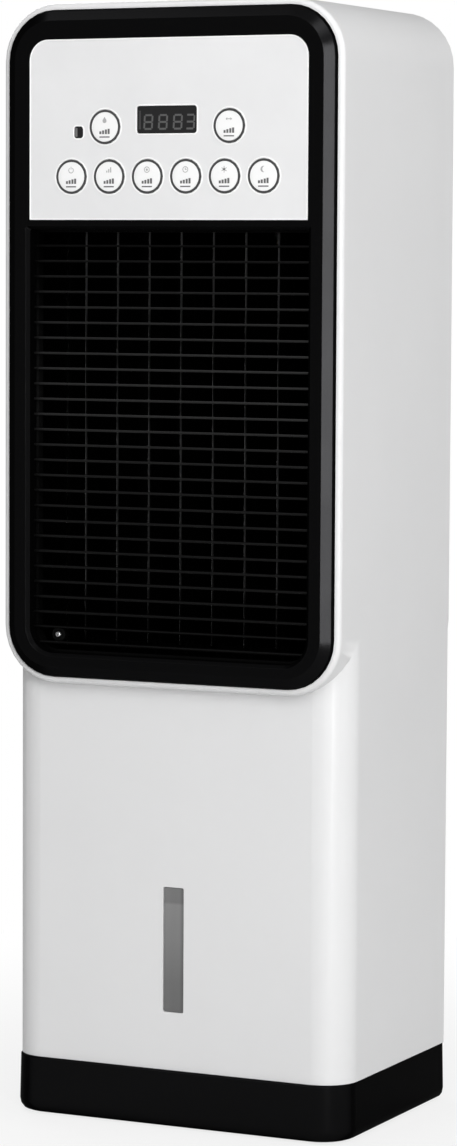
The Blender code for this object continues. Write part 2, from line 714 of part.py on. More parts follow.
def controls(looks):
    control_panel(looks["silver"])
    for name, x, z in key_places():
        push_button(name, x, z, looks["cap"])
    lens_back = PANEL_Y + LENS_THICKNESS
    make("display_window", [lens_piece(0, DISPLAY_CENTRE_HEIGHT, DISPLAY_WIDTH / 2, DISPLAY_HEIGHT / 2,
                                       PANEL_Y + GAP, lens_back)], looks["lens"])
    make("ir_window", [lens_piece(IR_OFFSET, IR_CENTRE_HEIGHT, IR_WIDTH / 2, IR_HEIGHT / 2,
                                  PANEL_Y + GAP, lens_back)], looks["lens"])
    half_width, half_height = BOARD_WIDTH / 2, BOARD_HEIGHT / 2
    board = block((-half_width, half_width), (BOARD_Y, BOARD_Y + BOARD_THICKNESS),
                  (BOARD_CENTRE - half_height, BOARD_CENTRE + half_height))
    half = SWITCH_SIDE / 2
    switches = [block((x - half, x + half), (SWITCH_Y, BOARD_Y + GAP), (z - half, z + half))
                for name, x, z in key_places()]
    make("control_board", [board], looks["green"], join=switches)
    digits = lens_piece(0, DISPLAY_CENTRE_HEIGHT, DISPLAY_WIDTH / 2 - WALL, DISPLAY_HEIGHT / 2 - WALL / 2,
                        lens_back + GAP, BOARD_Y - GAP)
    make("led_display", [digits], looks["dark"])
    receiver = lens_piece(IR_OFFSET, IR_CENTRE_HEIGHT, IR_WIDTH / 2 - GAP, IR_HEIGHT / 2 - GAP,
                          lens_back + GAP, BOARD_Y - GAP)
    make("ir_receiver", [receiver], looks["dark"])


# Outlet grille, duct and swing vanes

BOSS_HEIGHT = FIRST_SLAT - SLAT_PITCH * (SLAT_COUNT - 1) + SLAT_PITCH / 2


def outlet_grille(finish):
    """Ring behind the bezel with fixed slats that fill the opening."""
    ring_front = BEZEL_BACK_Y + GAP
    ring = frame_ring(grille_outline(GRILLE_FLANGE), grille_outline(-GRILLE_LIP),
                      ring_front, GRILLE_BACK_Y, "Y")
    slat_half = OPENING_HALF - GAP
    slat_front, slat_back = FRONT_Y + SLAT_FRONT_DEPTH, GRILLE_BACK_Y - GAP
    nose = SLAT_THICKNESS / 2
    slats = []
    for i in range(SLAT_COUNT):
        z = FIRST_SLAT - SLAT_PITCH * i
        section = [(slat_front, z), (slat_front + nose / 2, z - nose), (slat_back, z - nose / 2),
                   (slat_back, z + nose / 2), (slat_front + nose / 2, z + nose)]
        corner_cut = slat_half
        drop = OPENING_BOTTOM + OPENING_RADIUS - z + nose
        if drop > 0:
            chord = math.sqrt(max(OPENING_RADIUS ** 2 - drop ** 2, 0))
            corner_cut = slat_half - OPENING_RADIUS + chord
        slats.append(prism(section, -corner_cut, corner_cut, "X"))
    boss = rod(BOSS_OFFSET, BOSS_HEIGHT, BOSS_RADIUS, ring_front + nose, slat_back - nose, "Y", MEDIUM_SIDES)
    make("outlet_grille", [ring], finish, join=slats + [boss])


def grille_screw(finish):
    seat = BEZEL_BACK_Y + SLAT_THICKNESS / 2
    profile = [(SCREW_HEAD_RADIUS, seat)]
    profile += [(SCREW_HEAD_RADIUS * width, seat - SCREW_HEAD_HEIGHT * rise) for width, rise in SCREW_DOME]
    make("grille_screw", [turned(BOSS_OFFSET, BOSS_HEIGHT, profile, "Y", MEDIUM_SIDES)], finish)


def vane_places():
    start = -VANE_PITCH * (VANE_COUNT - 1) / 2
    return [start + VANE_PITCH * i for i in range(VANE_COUNT)]


PIN_HOLE = VANE_PIN_RADIUS + RUNNING_GAP
VANE_BOTTOM = DUCT_FLOOR + VANE_FOOT_GAP
VANE_TOP = OPENING_TOP - VANE_END_GAP
LINK_TOP = VANE_BOTTOM - RUNNING_GAP
LINK_BOTTOM = LINK_TOP - LINK_THICKNESS


def outlet_duct(finish):
    """Open box of four walls, with pivot holes in floor and roof."""
    inner = rounded(-OPENING_HALF, OPENING_HALF, DUCT_FLOOR, OPENING_TOP, [0] * 4)
    wall = DUCT_WALL
    outer = rounded(-OPENING_HALF - wall, OPENING_HALF + wall, DUCT_FLOOR - wall, OPENING_TOP + wall,
                    [0] * 4)
    body = frame_ring(outer, inner, DUCT_Y, DUCT_BACK_Y, "Y")
    low, high = DUCT_FLOOR - 2 * wall, OPENING_TOP + 2 * wall
    holes = []
    for x in vane_places():
        holes.append(rod(x, VANE_Y, PIN_HOLE, low, DUCT_FLOOR + wall, "Z", PIN_SIDES))
        holes.append(rod(x, VANE_Y, PIN_HOLE, OPENING_TOP - wall, high, "Z", PIN_SIDES))
    make("outlet_duct", [body], finish, cut=holes)


def swing_vanes(finish):
    """Upright blades on end pins, each with a crank pin for the link bar."""
    drive = VANE_COUNT // 2
    overlap = 2 * DUCT_WALL
    for i, x in enumerate(vane_places()):
        blade = prism(ellipse(0, 0, VANE_THICKNESS / 2, VANE_CHORD / 2), VANE_BOTTOM, VANE_TOP)
        pin_low = DUCT_FLOOR - DUCT_WALL + GAP
        if i == drive:
            pin_low -= SWING_MOTOR_HEIGHT / 2
        pins = [
            rod(0, 0, VANE_PIN_RADIUS, pin_low, VANE_BOTTOM + overlap, "Z", PIN_SIDES),
            rod(0, 0, VANE_PIN_RADIUS, VANE_TOP - overlap, OPENING_TOP + DUCT_WALL - GAP, "Z", PIN_SIDES),
            rod(0, CRANK_RADIUS, VANE_PIN_RADIUS, LINK_BOTTOM - GAP, VANE_BOTTOM + overlap, "Z", PIN_SIDES),
        ]
        vane = make(f"swing_vane_{i + 1}", [blade], finish, join=pins)
        vane.location = (x, VANE_Y, 0)
        bpy.data.objects[f"tool_{vane.name}"].location = vane.location


def vane_link_bar(finish):
    places = vane_places()
    reach = LINK_WIDTH / 2
    y = VANE_Y + CRANK_RADIUS
    outline = rounded(places[0] - reach, places[-1] + reach, y - reach, y + reach,
                      [reach - GAP] * 4, SOFT_STEPS)
    bar = prism(outline, LINK_BOTTOM, LINK_TOP)
    holes = [rod(x, y, PIN_HOLE, LINK_BOTTOM - GAP, LINK_TOP + GAP, "Z", PIN_SIDES) for x in places]
    centre = (places[VANE_COUNT // 2], y, 0)
    make("vane_link_bar", [bar], finish, cut=holes, origin=centre)


def swing_motor(finish):
    x = vane_places()[VANE_COUNT // 2]
    top = DUCT_FLOOR - DUCT_WALL - GAP
    bottom = top - SWING_MOTOR_HEIGHT
    rim = RUNNING_GAP
    can = turned(x, VANE_Y, [(SWING_MOTOR_RADIUS - rim, bottom), (SWING_MOTOR_RADIUS, bottom + rim),
                             (SWING_MOTOR_RADIUS, top - rim), (SWING_MOTOR_RADIUS - rim, top)],
                 sides=MEDIUM_SIDES)
    bore = rod(x, VANE_Y, PIN_HOLE, bottom + SWING_MOTOR_HEIGHT / 3, top + GAP, "Z", PIN_SIDES)
    make("swing_motor", [can], finish, cut=[bore])


# Deck, roof, fan and scroll

def motor_deck(finish):
    """Floor of the air path, which spans the shell and carries motor, scroll and pad."""
    front, back = LOWER_Y + WALL + GAP, PAD_Y + PAD_THICKNESS + 3 * PAD_FRAME_WALL
    half, corner = INNER_HALF - GAP, LOWER_RADIUS - WALL
    plate = prism(rounded(-half, half, front, back, [corner, corner, 0, 0]),
                  DECK_TOP - DECK_THICKNESS, DECK_TOP)
    low, high = DECK_TOP - 2 * DECK_THICKNESS, DECK_TOP + DECK_THICKNESS
    cuts = [
        rod(0, FAN_Y, HUB_RADIUS, low, high),
        rod(PIPE_OFFSET, PIPE_Y, PIPE_RADIUS + RUNNING_GAP, low, high, "Z", SMALL_SIDES),
        rod(0, PAD_Y + PAD_THICKNESS / 2, PIPE_RADIUS, low, high, "Z", SMALL_SIDES),
    ]
    make("motor_deck", [plate], finish, cut=cuts)


def fan_roof(finish):
    """Roof of the air path, with the hole for the upper fan bush."""
    half = INNER_HALF - GAP
    front, back = DUCT_Y + DUCT_WALL, PAD_Y - PAD_FRAME_WALL - 2 * GAP
    plate = block((-half, half), (front, back), (ROOF_BOTTOM, ROOF_BOTTOM + ROOF_THICKNESS))
    hole = rod(0, FAN_Y, BUSH_NECK_RADIUS + GAP, ROOF_BOTTOM - GAP, ROOF_BOTTOM + 2 * ROOF_THICKNESS)
    make("fan_roof", [plate], finish, cut=[hole])


def top_bush(finish):
    flange = ROOF_BOTTOM - GAP
    profile = [(BUSH_RADIUS, flange - BUSH_HEIGHT / 3), (BUSH_RADIUS, flange),
               (BUSH_NECK_RADIUS, flange), (BUSH_NECK_RADIUS, ROOF_BOTTOM + ROOF_THICKNESS)]
    bore = rod(0, FAN_Y, SHAFT_RADIUS + RUNNING_GAP, ROOF_BOTTOM - BUSH_HEIGHT,
               ROOF_BOTTOM + 2 * ROOF_THICKNESS)
    make("top_bush", [turned(0, FAN_Y, profile)], finish, cut=[bore])


def blade_outline(angle):
    """Curved blade section near the wheel's rim, as a wall along an arc."""
    path = []
    for i in range(BLADE_STEPS + 1):
        share = i / BLADE_STEPS
        radius = FAN_RADIUS - BLADE_THICKNESS - BLADE_WIDTH * share
        turn = angle + BLADE_SWEEP_ANGLE * share ** 2
        path.append((radius * math.cos(turn), radius * math.sin(turn)))
    return ribbon(path, BLADE_THICKNESS)


def fan_wheel(finish):
    """Cross-flow wheel: blades between discs, a hub below and a stub axle above."""
    disc = FAN_DISC_THICKNESS
    span = FAN_TOP - FAN_BOTTOM
    core = FAN_RADIUS - BLADE_WIDTH - 4 * BLADE_THICKNESS
    bottom = turned(0, 0, [(FAN_RADIUS, FAN_BOTTOM), (FAN_RADIUS, FAN_BOTTOM + disc)])
    top = turned(0, 0, [(FAN_RADIUS, FAN_TOP - disc), (FAN_RADIUS, FAN_TOP)])
    middle_level = FAN_BOTTOM + span / 2
    middle = frame_ring(circle(0, 0, FAN_RADIUS), circle(0, 0, core),
                        middle_level - disc / 2, middle_level + disc / 2, "Z")
    hub = turned(0, 0, [(HUB_RADIUS, FAN_BOTTOM + disc / 2), (HUB_TOP_RADIUS, FAN_BOTTOM + HUB_HEIGHT)],
                 sides=MEDIUM_SIDES)
    stub = rod(0, 0, SHAFT_RADIUS, FAN_TOP - disc / 2, ROOF_BOTTOM + ROOF_THICKNESS / 2, "Z", SMALL_SIDES)
    pitch = 2 * math.pi / FAN_BLADES
    blades = [prism(blade_outline(pitch * i), FAN_BOTTOM + disc / 2, FAN_TOP - disc / 2)
              for i in range(FAN_BLADES)]
    bore = rod(0, 0, SHAFT_RADIUS + GAP, FAN_BOTTOM - disc, FAN_BOTTOM + SHAFT_REACH, "Z", SMALL_SIDES)
    wheel = make("fan_wheel", [bottom], finish, join=[top, middle, hub, stub] + blades, cut=[bore])
    wheel.location = (0, FAN_Y, 0)
    for tool in bpy.data.objects:
        if tool.name.startswith("tool_fan_wheel"):
            tool.location = wheel.location


def fan_motor(can_finish, shaft_finish):
    top = DECK_TOP - DECK_THICKNESS - GAP
    bottom = top - MOTOR_HEIGHT
    step = MOTOR_FLANGE_THICKNESS
    profile = [(MOTOR_RADIUS - step, bottom), (MOTOR_RADIUS, bottom + step),
               (MOTOR_RADIUS, top - step), (MOTOR_FLANGE_RADIUS, top - step), (MOTOR_FLANGE_RADIUS, top)]
    seat = top - MOTOR_HEIGHT / 2
    bore = rod(0, FAN_Y, SHAFT_RADIUS + RUNNING_GAP, seat, top + GAP, "Z", SMALL_SIDES)
    make("fan_motor", [turned(0, FAN_Y, profile)], can_finish, cut=[bore])
    shaft = rod(0, FAN_Y, SHAFT_RADIUS, seat + GAP, FAN_BOTTOM + SHAFT_REACH - GAP, "Z", SMALL_SIDES)
    make("fan_shaft", [shaft], shaft_finish)


def polar(radius, degrees):
    angle = math.radians(degrees)
    return (radius * math.cos(angle), FAN_Y + radius * math.sin(angle))


def fan_scroll(finish):
    """Back wall of the fan: a spiral that widens into the duct."""
    path = []
    for i in range(SCROLL_STEPS + 1):
        share = i / SCROLL_STEPS
        radius = FAN_RADIUS + SCROLL_CLEARANCE + SCROLL_GROWTH * share
        path.append(polar(radius, SCROLL_START_ANGLE + (SCROLL_END_ANGLE - SCROLL_START_ANGLE) * share))
    path.append((-OPENING_HALF, DUCT_BACK_Y + SCROLL_THICKNESS))
    low, high = DECK_TOP + GAP, ROOF_BOTTOM - GAP
    make("fan_scroll", [prism(ribbon(path, SCROLL_THICKNESS), low, high)], finish)


def fan_tongue(finish):
    """Stabiliser: a round nose close to the wheel, on a wall that runs to the duct."""
    low, high = DECK_TOP + GAP, ROOF_BOTTOM - GAP
    nose = polar(FAN_RADIUS + SCROLL_CLEARANCE + TONGUE_RADIUS, TONGUE_ANGLE)
    path = [(OPENING_HALF, DUCT_BACK_Y + SCROLL_THICKNESS), nose]
    wall = prism(ribbon(path, SCROLL_THICKNESS), low, high)
    make("fan_tongue", [rod(*nose, TONGUE_RADIUS, low, high, "Z", MEDIUM_SIDES)], finish, join=[wall])


# Wet pad and water way

def pad_box(side, front, back, low, high):
    return block((-PAD_HALF - side, PAD_HALF + side), (PAD_Y - front, PAD_BACK_Y + back), (low, high))


def cooling_pad(finish):
    make("cooling_pad", [pad_box(0, 0, 0, PAD_BOTTOM, PAD_TOP)], finish)


def pad_frame(finish):
    """Frame round the pad, open to the air, over a drip trough that stands on the deck."""
    wall = PAD_FRAME_WALL + GAP
    lip = 2 * PAD_FRAME_WALL
    floor = DECK_TOP + GAP
    body = pad_box(wall, wall, wall, floor, PAD_TOP + wall)
    pocket = pad_box(GAP, GAP, GAP, PAD_BOTTOM - GAP, PAD_TOP + GAP)
    window = pad_box(-lip, wall + lip, wall + lip, PAD_BOTTOM + lip, PAD_TOP - lip)
    trough = pad_box(-lip, -lip, -lip, floor + PAD_FRAME_WALL, PAD_BOTTOM + GAP)
    feed = pad_box(-lip, -lip, -lip, PAD_TOP - GAP, PAD_TOP + 2 * wall)
    drain = rod(0, PAD_Y + PAD_THICKNESS / 2, PIPE_RADIUS - PIPE_WALL, floor - GAP, floor + lip,
                "Z", SMALL_SIDES)
    make("pad_frame", [body], finish, cut=[pocket, window, trough, feed, drain])


TRAY_BOTTOM = PAD_TOP + PAD_FRAME_WALL + 2 * GAP
PIPE_TOP = TRAY_BOTTOM + TRAY_HEIGHT / 2


def water_tray(finish):
    """Open trough over the pad, with drip holes in its floor and the pipe's hole in its side."""
    wall = PAD_FRAME_WALL
    body = pad_box(wall, wall, wall, TRAY_BOTTOM, TRAY_BOTTOM + TRAY_HEIGHT)
    hollow = pad_box(0, 0, 0, TRAY_BOTTOM + wall, TRAY_BOTTOM + 2 * TRAY_HEIGHT)
    middle = PAD_Y + PAD_THICKNESS / 2
    pitch = 2 * PAD_HALF / (DRIP_HOLES + 1)
    holes = [rod(pitch * (i + 1) - PAD_HALF, middle, wall, TRAY_BOTTOM - wall, TRAY_BOTTOM + 2 * wall,
                 "Z", PIN_SIDES) for i in range(DRIP_HOLES)]
    inlet = rod(PIPE_Y, PIPE_TOP, PIPE_RADIUS + GAP, PAD_HALF - wall, PAD_HALF + 2 * wall, "X", SMALL_SIDES)
    make("water_tray", [body], finish, cut=[hollow] + holes + [inlet])


RISER_TOP = TANK_TOP + TANK_WALL
PIPE_LOW = RISER_TOP + RUNNING_GAP


def tube_piece(path, radius):
    """Closed round tube swept along points in the X-Z plane at the pipe's depth."""
    piece = bmesh.new()
    rings = []
    for i, (x, z) in enumerate(path):
        before, after = path[max(i - 1, 0)], path[min(i + 1, len(path) - 1)]
        lean = math.atan2(after[0] - before[0], after[1] - before[1])
        ring = []
        for a, b in circle(0, 0, radius, SMALL_SIDES):
            ring.append(piece.verts.new((x + a * math.cos(lean), PIPE_Y + b, z - a * math.sin(lean))))
        rings.append(ring)
    for low, high in zip(rings, rings[1:]):
        for i in range(SMALL_SIDES):
            j = (i + 1) % SMALL_SIDES
            piece.faces.new((low[i], low[j], high[j], high[i]))
    piece.faces.new(rings[0][::-1])
    piece.faces.new(rings[-1])
    bmesh.ops.recalc_face_normals(piece, faces=piece.faces)
    return piece


def supply_pipe(finish):
    """Rigid riser beside the pad, with an elbow into the water tray."""
    bend = 2 * PIPE_RADIUS
    elbow = arc((PIPE_OFFSET - bend, PIPE_TOP - bend), bend, 0, 90, ELBOW_STEPS)
    path = [(PIPE_OFFSET, PIPE_LOW)] + elbow + [(PAD_HALF - PAD_FRAME_WALL, PIPE_TOP)]
    bore_path = [(PIPE_OFFSET, PIPE_LOW - bend)] + elbow + [(PAD_HALF - 2 * bend, PIPE_TOP)]
    make("supply_pipe", [tube_piece(path, PIPE_RADIUS)], finish,
         cut=[tube_piece(bore_path, PIPE_RADIUS - PIPE_WALL)])


# Tank, pump and latch

TANK_FRONT_Y = LOWER_Y + WALL + TANK_FRONT_GAP
TANK_HALF = INNER_HALF - TANK_SIDE_GAP
GRIP_HIGH = TANK_TOP - TANK_GRIP_DROP
GRIP_LOW = GRIP_HIGH - TANK_GRIP_HEIGHT


def grip_box(grow, back):
    half = TANK_GRIP_WIDTH / 2 + grow
    outline = rounded(-half, half, GRIP_LOW - grow, GRIP_HIGH + grow, [GRIP_RADIUS] * 4, SOFT_STEPS)
    return prism(outline, REAR_FACE_Y - TANK_GRIP_DEPTH - grow, back, "Y")


def water_tank(finish):
    """Open drawer with a flush rear face and a finger recess in it."""
    corner = LOWER_RADIUS - WALL - TANK_FRONT_GAP
    outer = rounded(-TANK_HALF, TANK_HALF, TANK_FRONT_Y, TANK_FACE_Y + TANK_WALL, [corner, corner, 0, 0])
    body = prism(outer, TANK_BOTTOM, TANK_TOP)
    face_half = INNER_HALF - RUNNING_GAP
    face = block((-face_half, face_half), (TANK_FACE_Y, REAR_FACE_Y),
                 (PLINTH_TOP + RUNNING_GAP, TANK_TOP + 2 * TANK_WALL))
    half = TANK_HALF - TANK_WALL
    inner_corner = corner - TANK_WALL
    hollow = prism(rounded(-half, half, TANK_FRONT_Y + TANK_WALL, TANK_FACE_Y,
                           [inner_corner, inner_corner, 0, 0]),
                   TANK_BOTTOM + TANK_WALL, TANK_TOP + 4 * TANK_WALL)
    tank = make("water_tank", [body], finish, join=[face], cut=[hollow])
    add_boolean(tank, "UNION", [grip_box(TANK_WALL, TANK_FACE_Y + TANK_WALL / 2)])
    add_boolean(tank, "DIFFERENCE", [grip_box(0, REAR_FACE_Y + TANK_WALL)])


PUMP_X = PIPE_OFFSET - PUMP_WIDTH / 4
PUMP_BOTTOM = TANK_BOTTOM + TANK_WALL + GAP


def pump(finish, pipe_finish):
    """Submersible pump on the tank floor, with its riser to the tank's rim."""
    half = PUMP_WIDTH / 2
    front = PIPE_Y - PUMP_LENGTH / 2
    outline = rounded(PUMP_X - half, PUMP_X + half, front, front + PUMP_LENGTH,
                      [SOFT_RADIUS] * 4, SOFT_STEPS)
    top = PUMP_BOTTOM + PUMP_HEIGHT
    body = prism(outline, PUMP_BOTTOM, top)
    socket = rod(PIPE_OFFSET, PIPE_Y, PIPE_RADIUS + 2 * PIPE_WALL, top - PIPE_WALL, top + 2 * PIPE_RADIUS,
                 "Z", SMALL_SIDES)
    bore = rod(PIPE_OFFSET, PIPE_Y, PIPE_RADIUS + GAP, top, top + 3 * PIPE_RADIUS, "Z", SMALL_SIDES)
    ribs = [block((PUMP_X - half - PIPE_WALL, PUMP_X - half + PIPE_WALL), (y - PIPE_WALL, y + PIPE_WALL),
                  (PUMP_BOTTOM + PIPE_RADIUS, top - PIPE_RADIUS))
            for y in (PIPE_Y + place for place in PUMP_RIB_PLACES)]
    make("pump", [body], finish, join=[socket] + ribs, cut=[bore])
    riser = rod(PIPE_OFFSET, PIPE_Y, PIPE_RADIUS, top + GAP, RISER_TOP, "Z", SMALL_SIDES)
    bore = rod(PIPE_OFFSET, PIPE_Y, PIPE_RADIUS - PIPE_WALL, top - GAP, RISER_TOP + GAP, "Z", SMALL_SIDES)
    make("pump_riser", [riser], pipe_finish, cut=[bore])


REAR_BOTTOM = TANK_TOP + 2 * TANK_WALL + RUNNING_GAP
LATCH_Z = REAR_BOTTOM + LATCH_RISE


def tank_latch(finish):
    """Turn catch on the rear panel, shown open beside the tank's edge."""
    back = REAR_FACE_Y + GAP + LATCH_THICKNESS
    reach = LATCH_WIDTH / 2
    outline = rounded(-reach, LATCH_LENGTH - reach, -reach, reach, [reach - GAP] * 4, SOFT_STEPS)
    arm = prism(outline, REAR_FACE_Y + GAP, back, "Y")
    pin = rod(0, 0, LATCH_PIN_RADIUS, REAR_Y - GAP, back - LATCH_THICKNESS / 2, "Y", SMALL_SIDES)
    latch = make("tank_latch", [arm], finish, join=[pin])
    latch.location = (0, 0, LATCH_Z)
    bpy.data.objects["tool_tank_latch"].location = latch.location


# Rear panel and intake door

INTAKE_HALF = HALF - INTAKE_SIDE
INTAKE_BOTTOM = DECK_TOP + INTAKE_RISE
INTAKE_TOP = OPENING_TOP + INTAKE_OVER
DOOR_Y = REAR_FACE_Y - DOOR_THICKNESS
DOOR_MIDDLE_Y = REAR_FACE_Y - DOOR_THICKNESS / 2
DOOR_HALF = INTAKE_HALF - RUNNING_GAP
DOOR_BOTTOM = INTAKE_BOTTOM + RUNNING_GAP
DOOR_TOP = INTAKE_TOP - RUNNING_GAP
DOOR_AXIS_Z = DOOR_BOTTOM + DOOR_THICKNESS / 2
HAND_CENTRE_HEIGHT = HEIGHT - HAND_DROP
GLAND_OFFSET = GLAND_INSET - HALF
GLAND_HEIGHT = TANK_TOP + GLAND_RISE


def intake_outline(grow, top_corner):
    return rounded(-INTAKE_HALF - grow, INTAKE_HALF + grow, INTAKE_BOTTOM - grow, INTAKE_TOP + grow,
                   [0, 0, top_corner, top_corner], INTAKE_STEPS)


def hand_box(grow, back):
    half, rise = HAND_WIDTH / 2 + grow, HAND_HEIGHT / 2 + grow
    outline = rounded(-half, half, HAND_CENTRE_HEIGHT - rise, HAND_CENTRE_HEIGHT + rise,
                      [SOFT_RADIUS] * 4, INTAKE_STEPS)
    return prism(outline, REAR_FACE_Y - HAND_DEPTH - grow, back, "Y")


def rear_panel(finish):
    """Back wall with intake collar, hand recess, catch pivot, gland hole and screw holes."""
    half, top = INNER_HALF - GAP, HEIGHT - WALL - GAP
    corner = HEAD_RADIUS - WALL - GAP
    plate = prism(rounded(-half, half, REAR_BOTTOM, top, [0, 0, corner, corner]), REAR_Y, REAR_FACE_Y, "Y")
    collar = prism(intake_outline(DOOR_COLLAR, INTAKE_RADIUS + DOOR_COLLAR),
                   DOOR_Y - DOOR_COLLAR, REAR_Y + GAP, "Y")
    panel = make("rear_panel", [plate], finish, join=[collar, hand_box(HAND_WALL, REAR_Y + GAP)])
    front, back = DOOR_Y - 2 * DOOR_COLLAR, REAR_FACE_Y + WALL
    cuts = [
        prism(intake_outline(0, INTAKE_RADIUS), front, back, "Y"),
        hand_box(0, back),
        rod(0, LATCH_Z, LATCH_PIN_RADIUS + RUNNING_GAP, front, back, "Y", SMALL_SIDES),
        rod(GLAND_OFFSET, GLAND_HEIGHT, GLAND_RADIUS + GAP, front, back, "Y", MEDIUM_SIDES),
    ]
    cuts += [rod(x, z, SCREW_HOLE, front, back, "Y", SMALL_SIDES) for x, z in rear_screw_places()]
    pin_hole = DOOR_PIN_RADIUS + RUNNING_GAP / 2
    reach = INTAKE_HALF + DOOR_PIN_LENGTH
    cuts.append(rod(DOOR_MIDDLE_Y, DOOR_AXIS_Z, pin_hole, -reach, reach, "X", SMALL_SIDES))
    add_boolean(panel, "DIFFERENCE", cuts)


def rear_screws(finish):
    head, shank = SCREW_HOLE * 2, SCREW_HOLE - GAP
    seat = REAR_FACE_Y + GAP
    profile = [(shank, REAR_Y + GAP), (shank, seat), (head, seat)]
    profile += [(head * width, seat + SCREW_HEAD_HEIGHT * rise) for width, rise in SCREW_DOME]
    for i, (x, z) in enumerate(rear_screw_places()):
        make(f"rear_screw_{i + 1}", [turned(x, z, profile, "Y", SMALL_SIDES)], finish)


def cord_gland(finish):
    flange = REAR_FACE_Y + GAP
    profile = [(GLAND_RADIUS, REAR_Y - GLAND_RADIUS), (GLAND_RADIUS, flange),
               (GLAND_FLANGE_RADIUS, flange), (GLAND_RIM_RADIUS, flange + GLAND_FLANGE_HEIGHT)]
    bore = rod(GLAND_OFFSET, GLAND_HEIGHT, GLAND_BORE_RADIUS, REAR_Y - 2 * GLAND_RADIUS, BACK_Y + WALL,
               "Y", SMALL_SIDES)
    make("cord_gland", [turned(GLAND_OFFSET, GLAND_HEIGHT, profile, "Y", MEDIUM_SIDES)], finish, cut=[bore])


def filter_door(finish):
    """Intake grille that tilts out on two pins at its lower edge."""
    back, front = REAR_FACE_Y, DOOR_Y
    top_corner = INTAKE_RADIUS - RUNNING_GAP
    outer = rounded(-DOOR_HALF, DOOR_HALF, DOOR_AXIS_Z, DOOR_TOP, [0, 0, top_corner, top_corner],
                    INTAKE_STEPS)
    side = DOOR_HALF - DOOR_FRAME
    low, high = DOOR_AXIS_Z + DOOR_FRAME, DOOR_TOP - DOOR_FRAME
    window = block((-side, side), (front - WALL, back + WALL), (low, high))
    radius = DOOR_THICKNESS / 2
    rail = rod(DOOR_MIDDLE_Y, DOOR_AXIS_Z, radius, -DOOR_HALF, DOOR_HALF, "X", MEDIUM_SIDES)
    reach = INTAKE_HALF + DOOR_PIN_LENGTH - GAP
    pins = rod(DOOR_MIDDLE_Y, DOOR_AXIS_Z, DOOR_PIN_RADIUS, -reach, reach, "X", SMALL_SIDES)
    pitch = (high - low) / (DOOR_BARS + 1)
    bars = []
    for i in range(DOOR_BARS):
        z = low + pitch * (i + 1)
        rise = DOOR_BAR_HEIGHT / 2
        section = [(front + GAP, z - rise - rise), (back - GAP, z - rise), (back - GAP, z + rise),
                   (front + GAP, z)]
        bars.append(prism(section, -side - WALL, side + WALL, "X"))
    stile = block((-rise, rise), (front + GAP * 2, back - GAP * 4), (low - WALL, high + WALL))
    origin = (0, DOOR_MIDDLE_Y, DOOR_AXIS_Z)
    door = make("filter_door", [prism(outer, front, back, "Y")], finish, cut=[window], origin=origin)
    add_boolean(door, "UNION", [rail, pins, stile] + bars)


def filter_net(finish):
    margin = DOOR_FRAME / 2
    back = DOOR_Y - GAP
    net = block((-DOOR_HALF + margin, DOOR_HALF - margin), (back - NET_THICKNESS, back),
                (DOOR_AXIS_Z + margin, DOOR_TOP - margin))
    make("filter_net", [net], finish)


def power_board(finish):
    """Board on posts above the air path, with its tallest components."""
    roof = ROOF_BOTTOM + ROOF_THICKNESS
    lift = POWER_BOARD_LIFT
    half, depth = POWER_BOARD_WIDTH / 2, POWER_BOARD_DEPTH / 2
    low = roof + lift
    board = block((-half, half), (FAN_Y - depth, FAN_Y + depth), (low, low + POWER_BOARD_THICKNESS))
    base = low + POWER_BOARD_THICKNESS / 2
    inset = BOARD_POST_RADIUS + POWER_BOARD_THICKNESS
    posts = [rod(x, FAN_Y + y, BOARD_POST_RADIUS, roof + GAP, base, "Z", SMALL_SIDES)
             for x in (-half + inset, half - inset) for y in (-depth + inset, depth - inset)]
    boxes = [block((half * left, half * right), (FAN_Y + depth * front, FAN_Y + depth * back),
                   (base, base + depth * height))
             for left, right, front, back, height in (COIL_SHARES, RELAY_SHARES)]
    x, y, radius, height = CAPACITOR_SHARES
    can = rod(half * x, FAN_Y + depth * y, depth * radius, base, base + depth * height, "Z", MEDIUM_SIDES)
    make("power_board", [board], finish, join=posts + boxes + [can])


def build():
    for old in list(bpy.data.objects):
        bpy.data.objects.remove(old, do_unlink=True)
    looks = finishes()
    base_plinth(looks["black"])
    rubber_feet(looks["rubber"])
    housing(looks["white"])
    level_window(looks["smoke"])
    front_bezel(looks["black"])
    controls(looks)
    outlet_grille(looks["black"])
    grille_screw(looks["steel"])
    outlet_duct(looks["dark"])
    swing_vanes(looks["dark"])
    vane_link_bar(looks["dark"])
    swing_motor(looks["zinc"])
    motor_deck(looks["grey"])
    fan_roof(looks["grey"])
    top_bush(looks["rubber"])
    fan_wheel(looks["dark"])
    fan_motor(looks["zinc"], looks["steel"])
    fan_scroll(looks["dark"])
    fan_tongue(looks["dark"])
    cooling_pad(looks["pad"])
    pad_frame(looks["grey"])
    water_tray(looks["grey"])
    supply_pipe(looks["grey"])
    water_tank(looks["tank"])
    pump(looks["dark"], looks["grey"])
    tank_latch(looks["grey"])
    rear_panel(looks["white"])
    rear_screws(looks["steel"])
    cord_gland(looks["rubber"])
    filter_door(looks["white"])
    filter_net(looks["dark"])
    power_board(looks["green"])


build()
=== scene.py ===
import json
import math

import bmesh
import bpy
from mathutils import Matrix, Vector


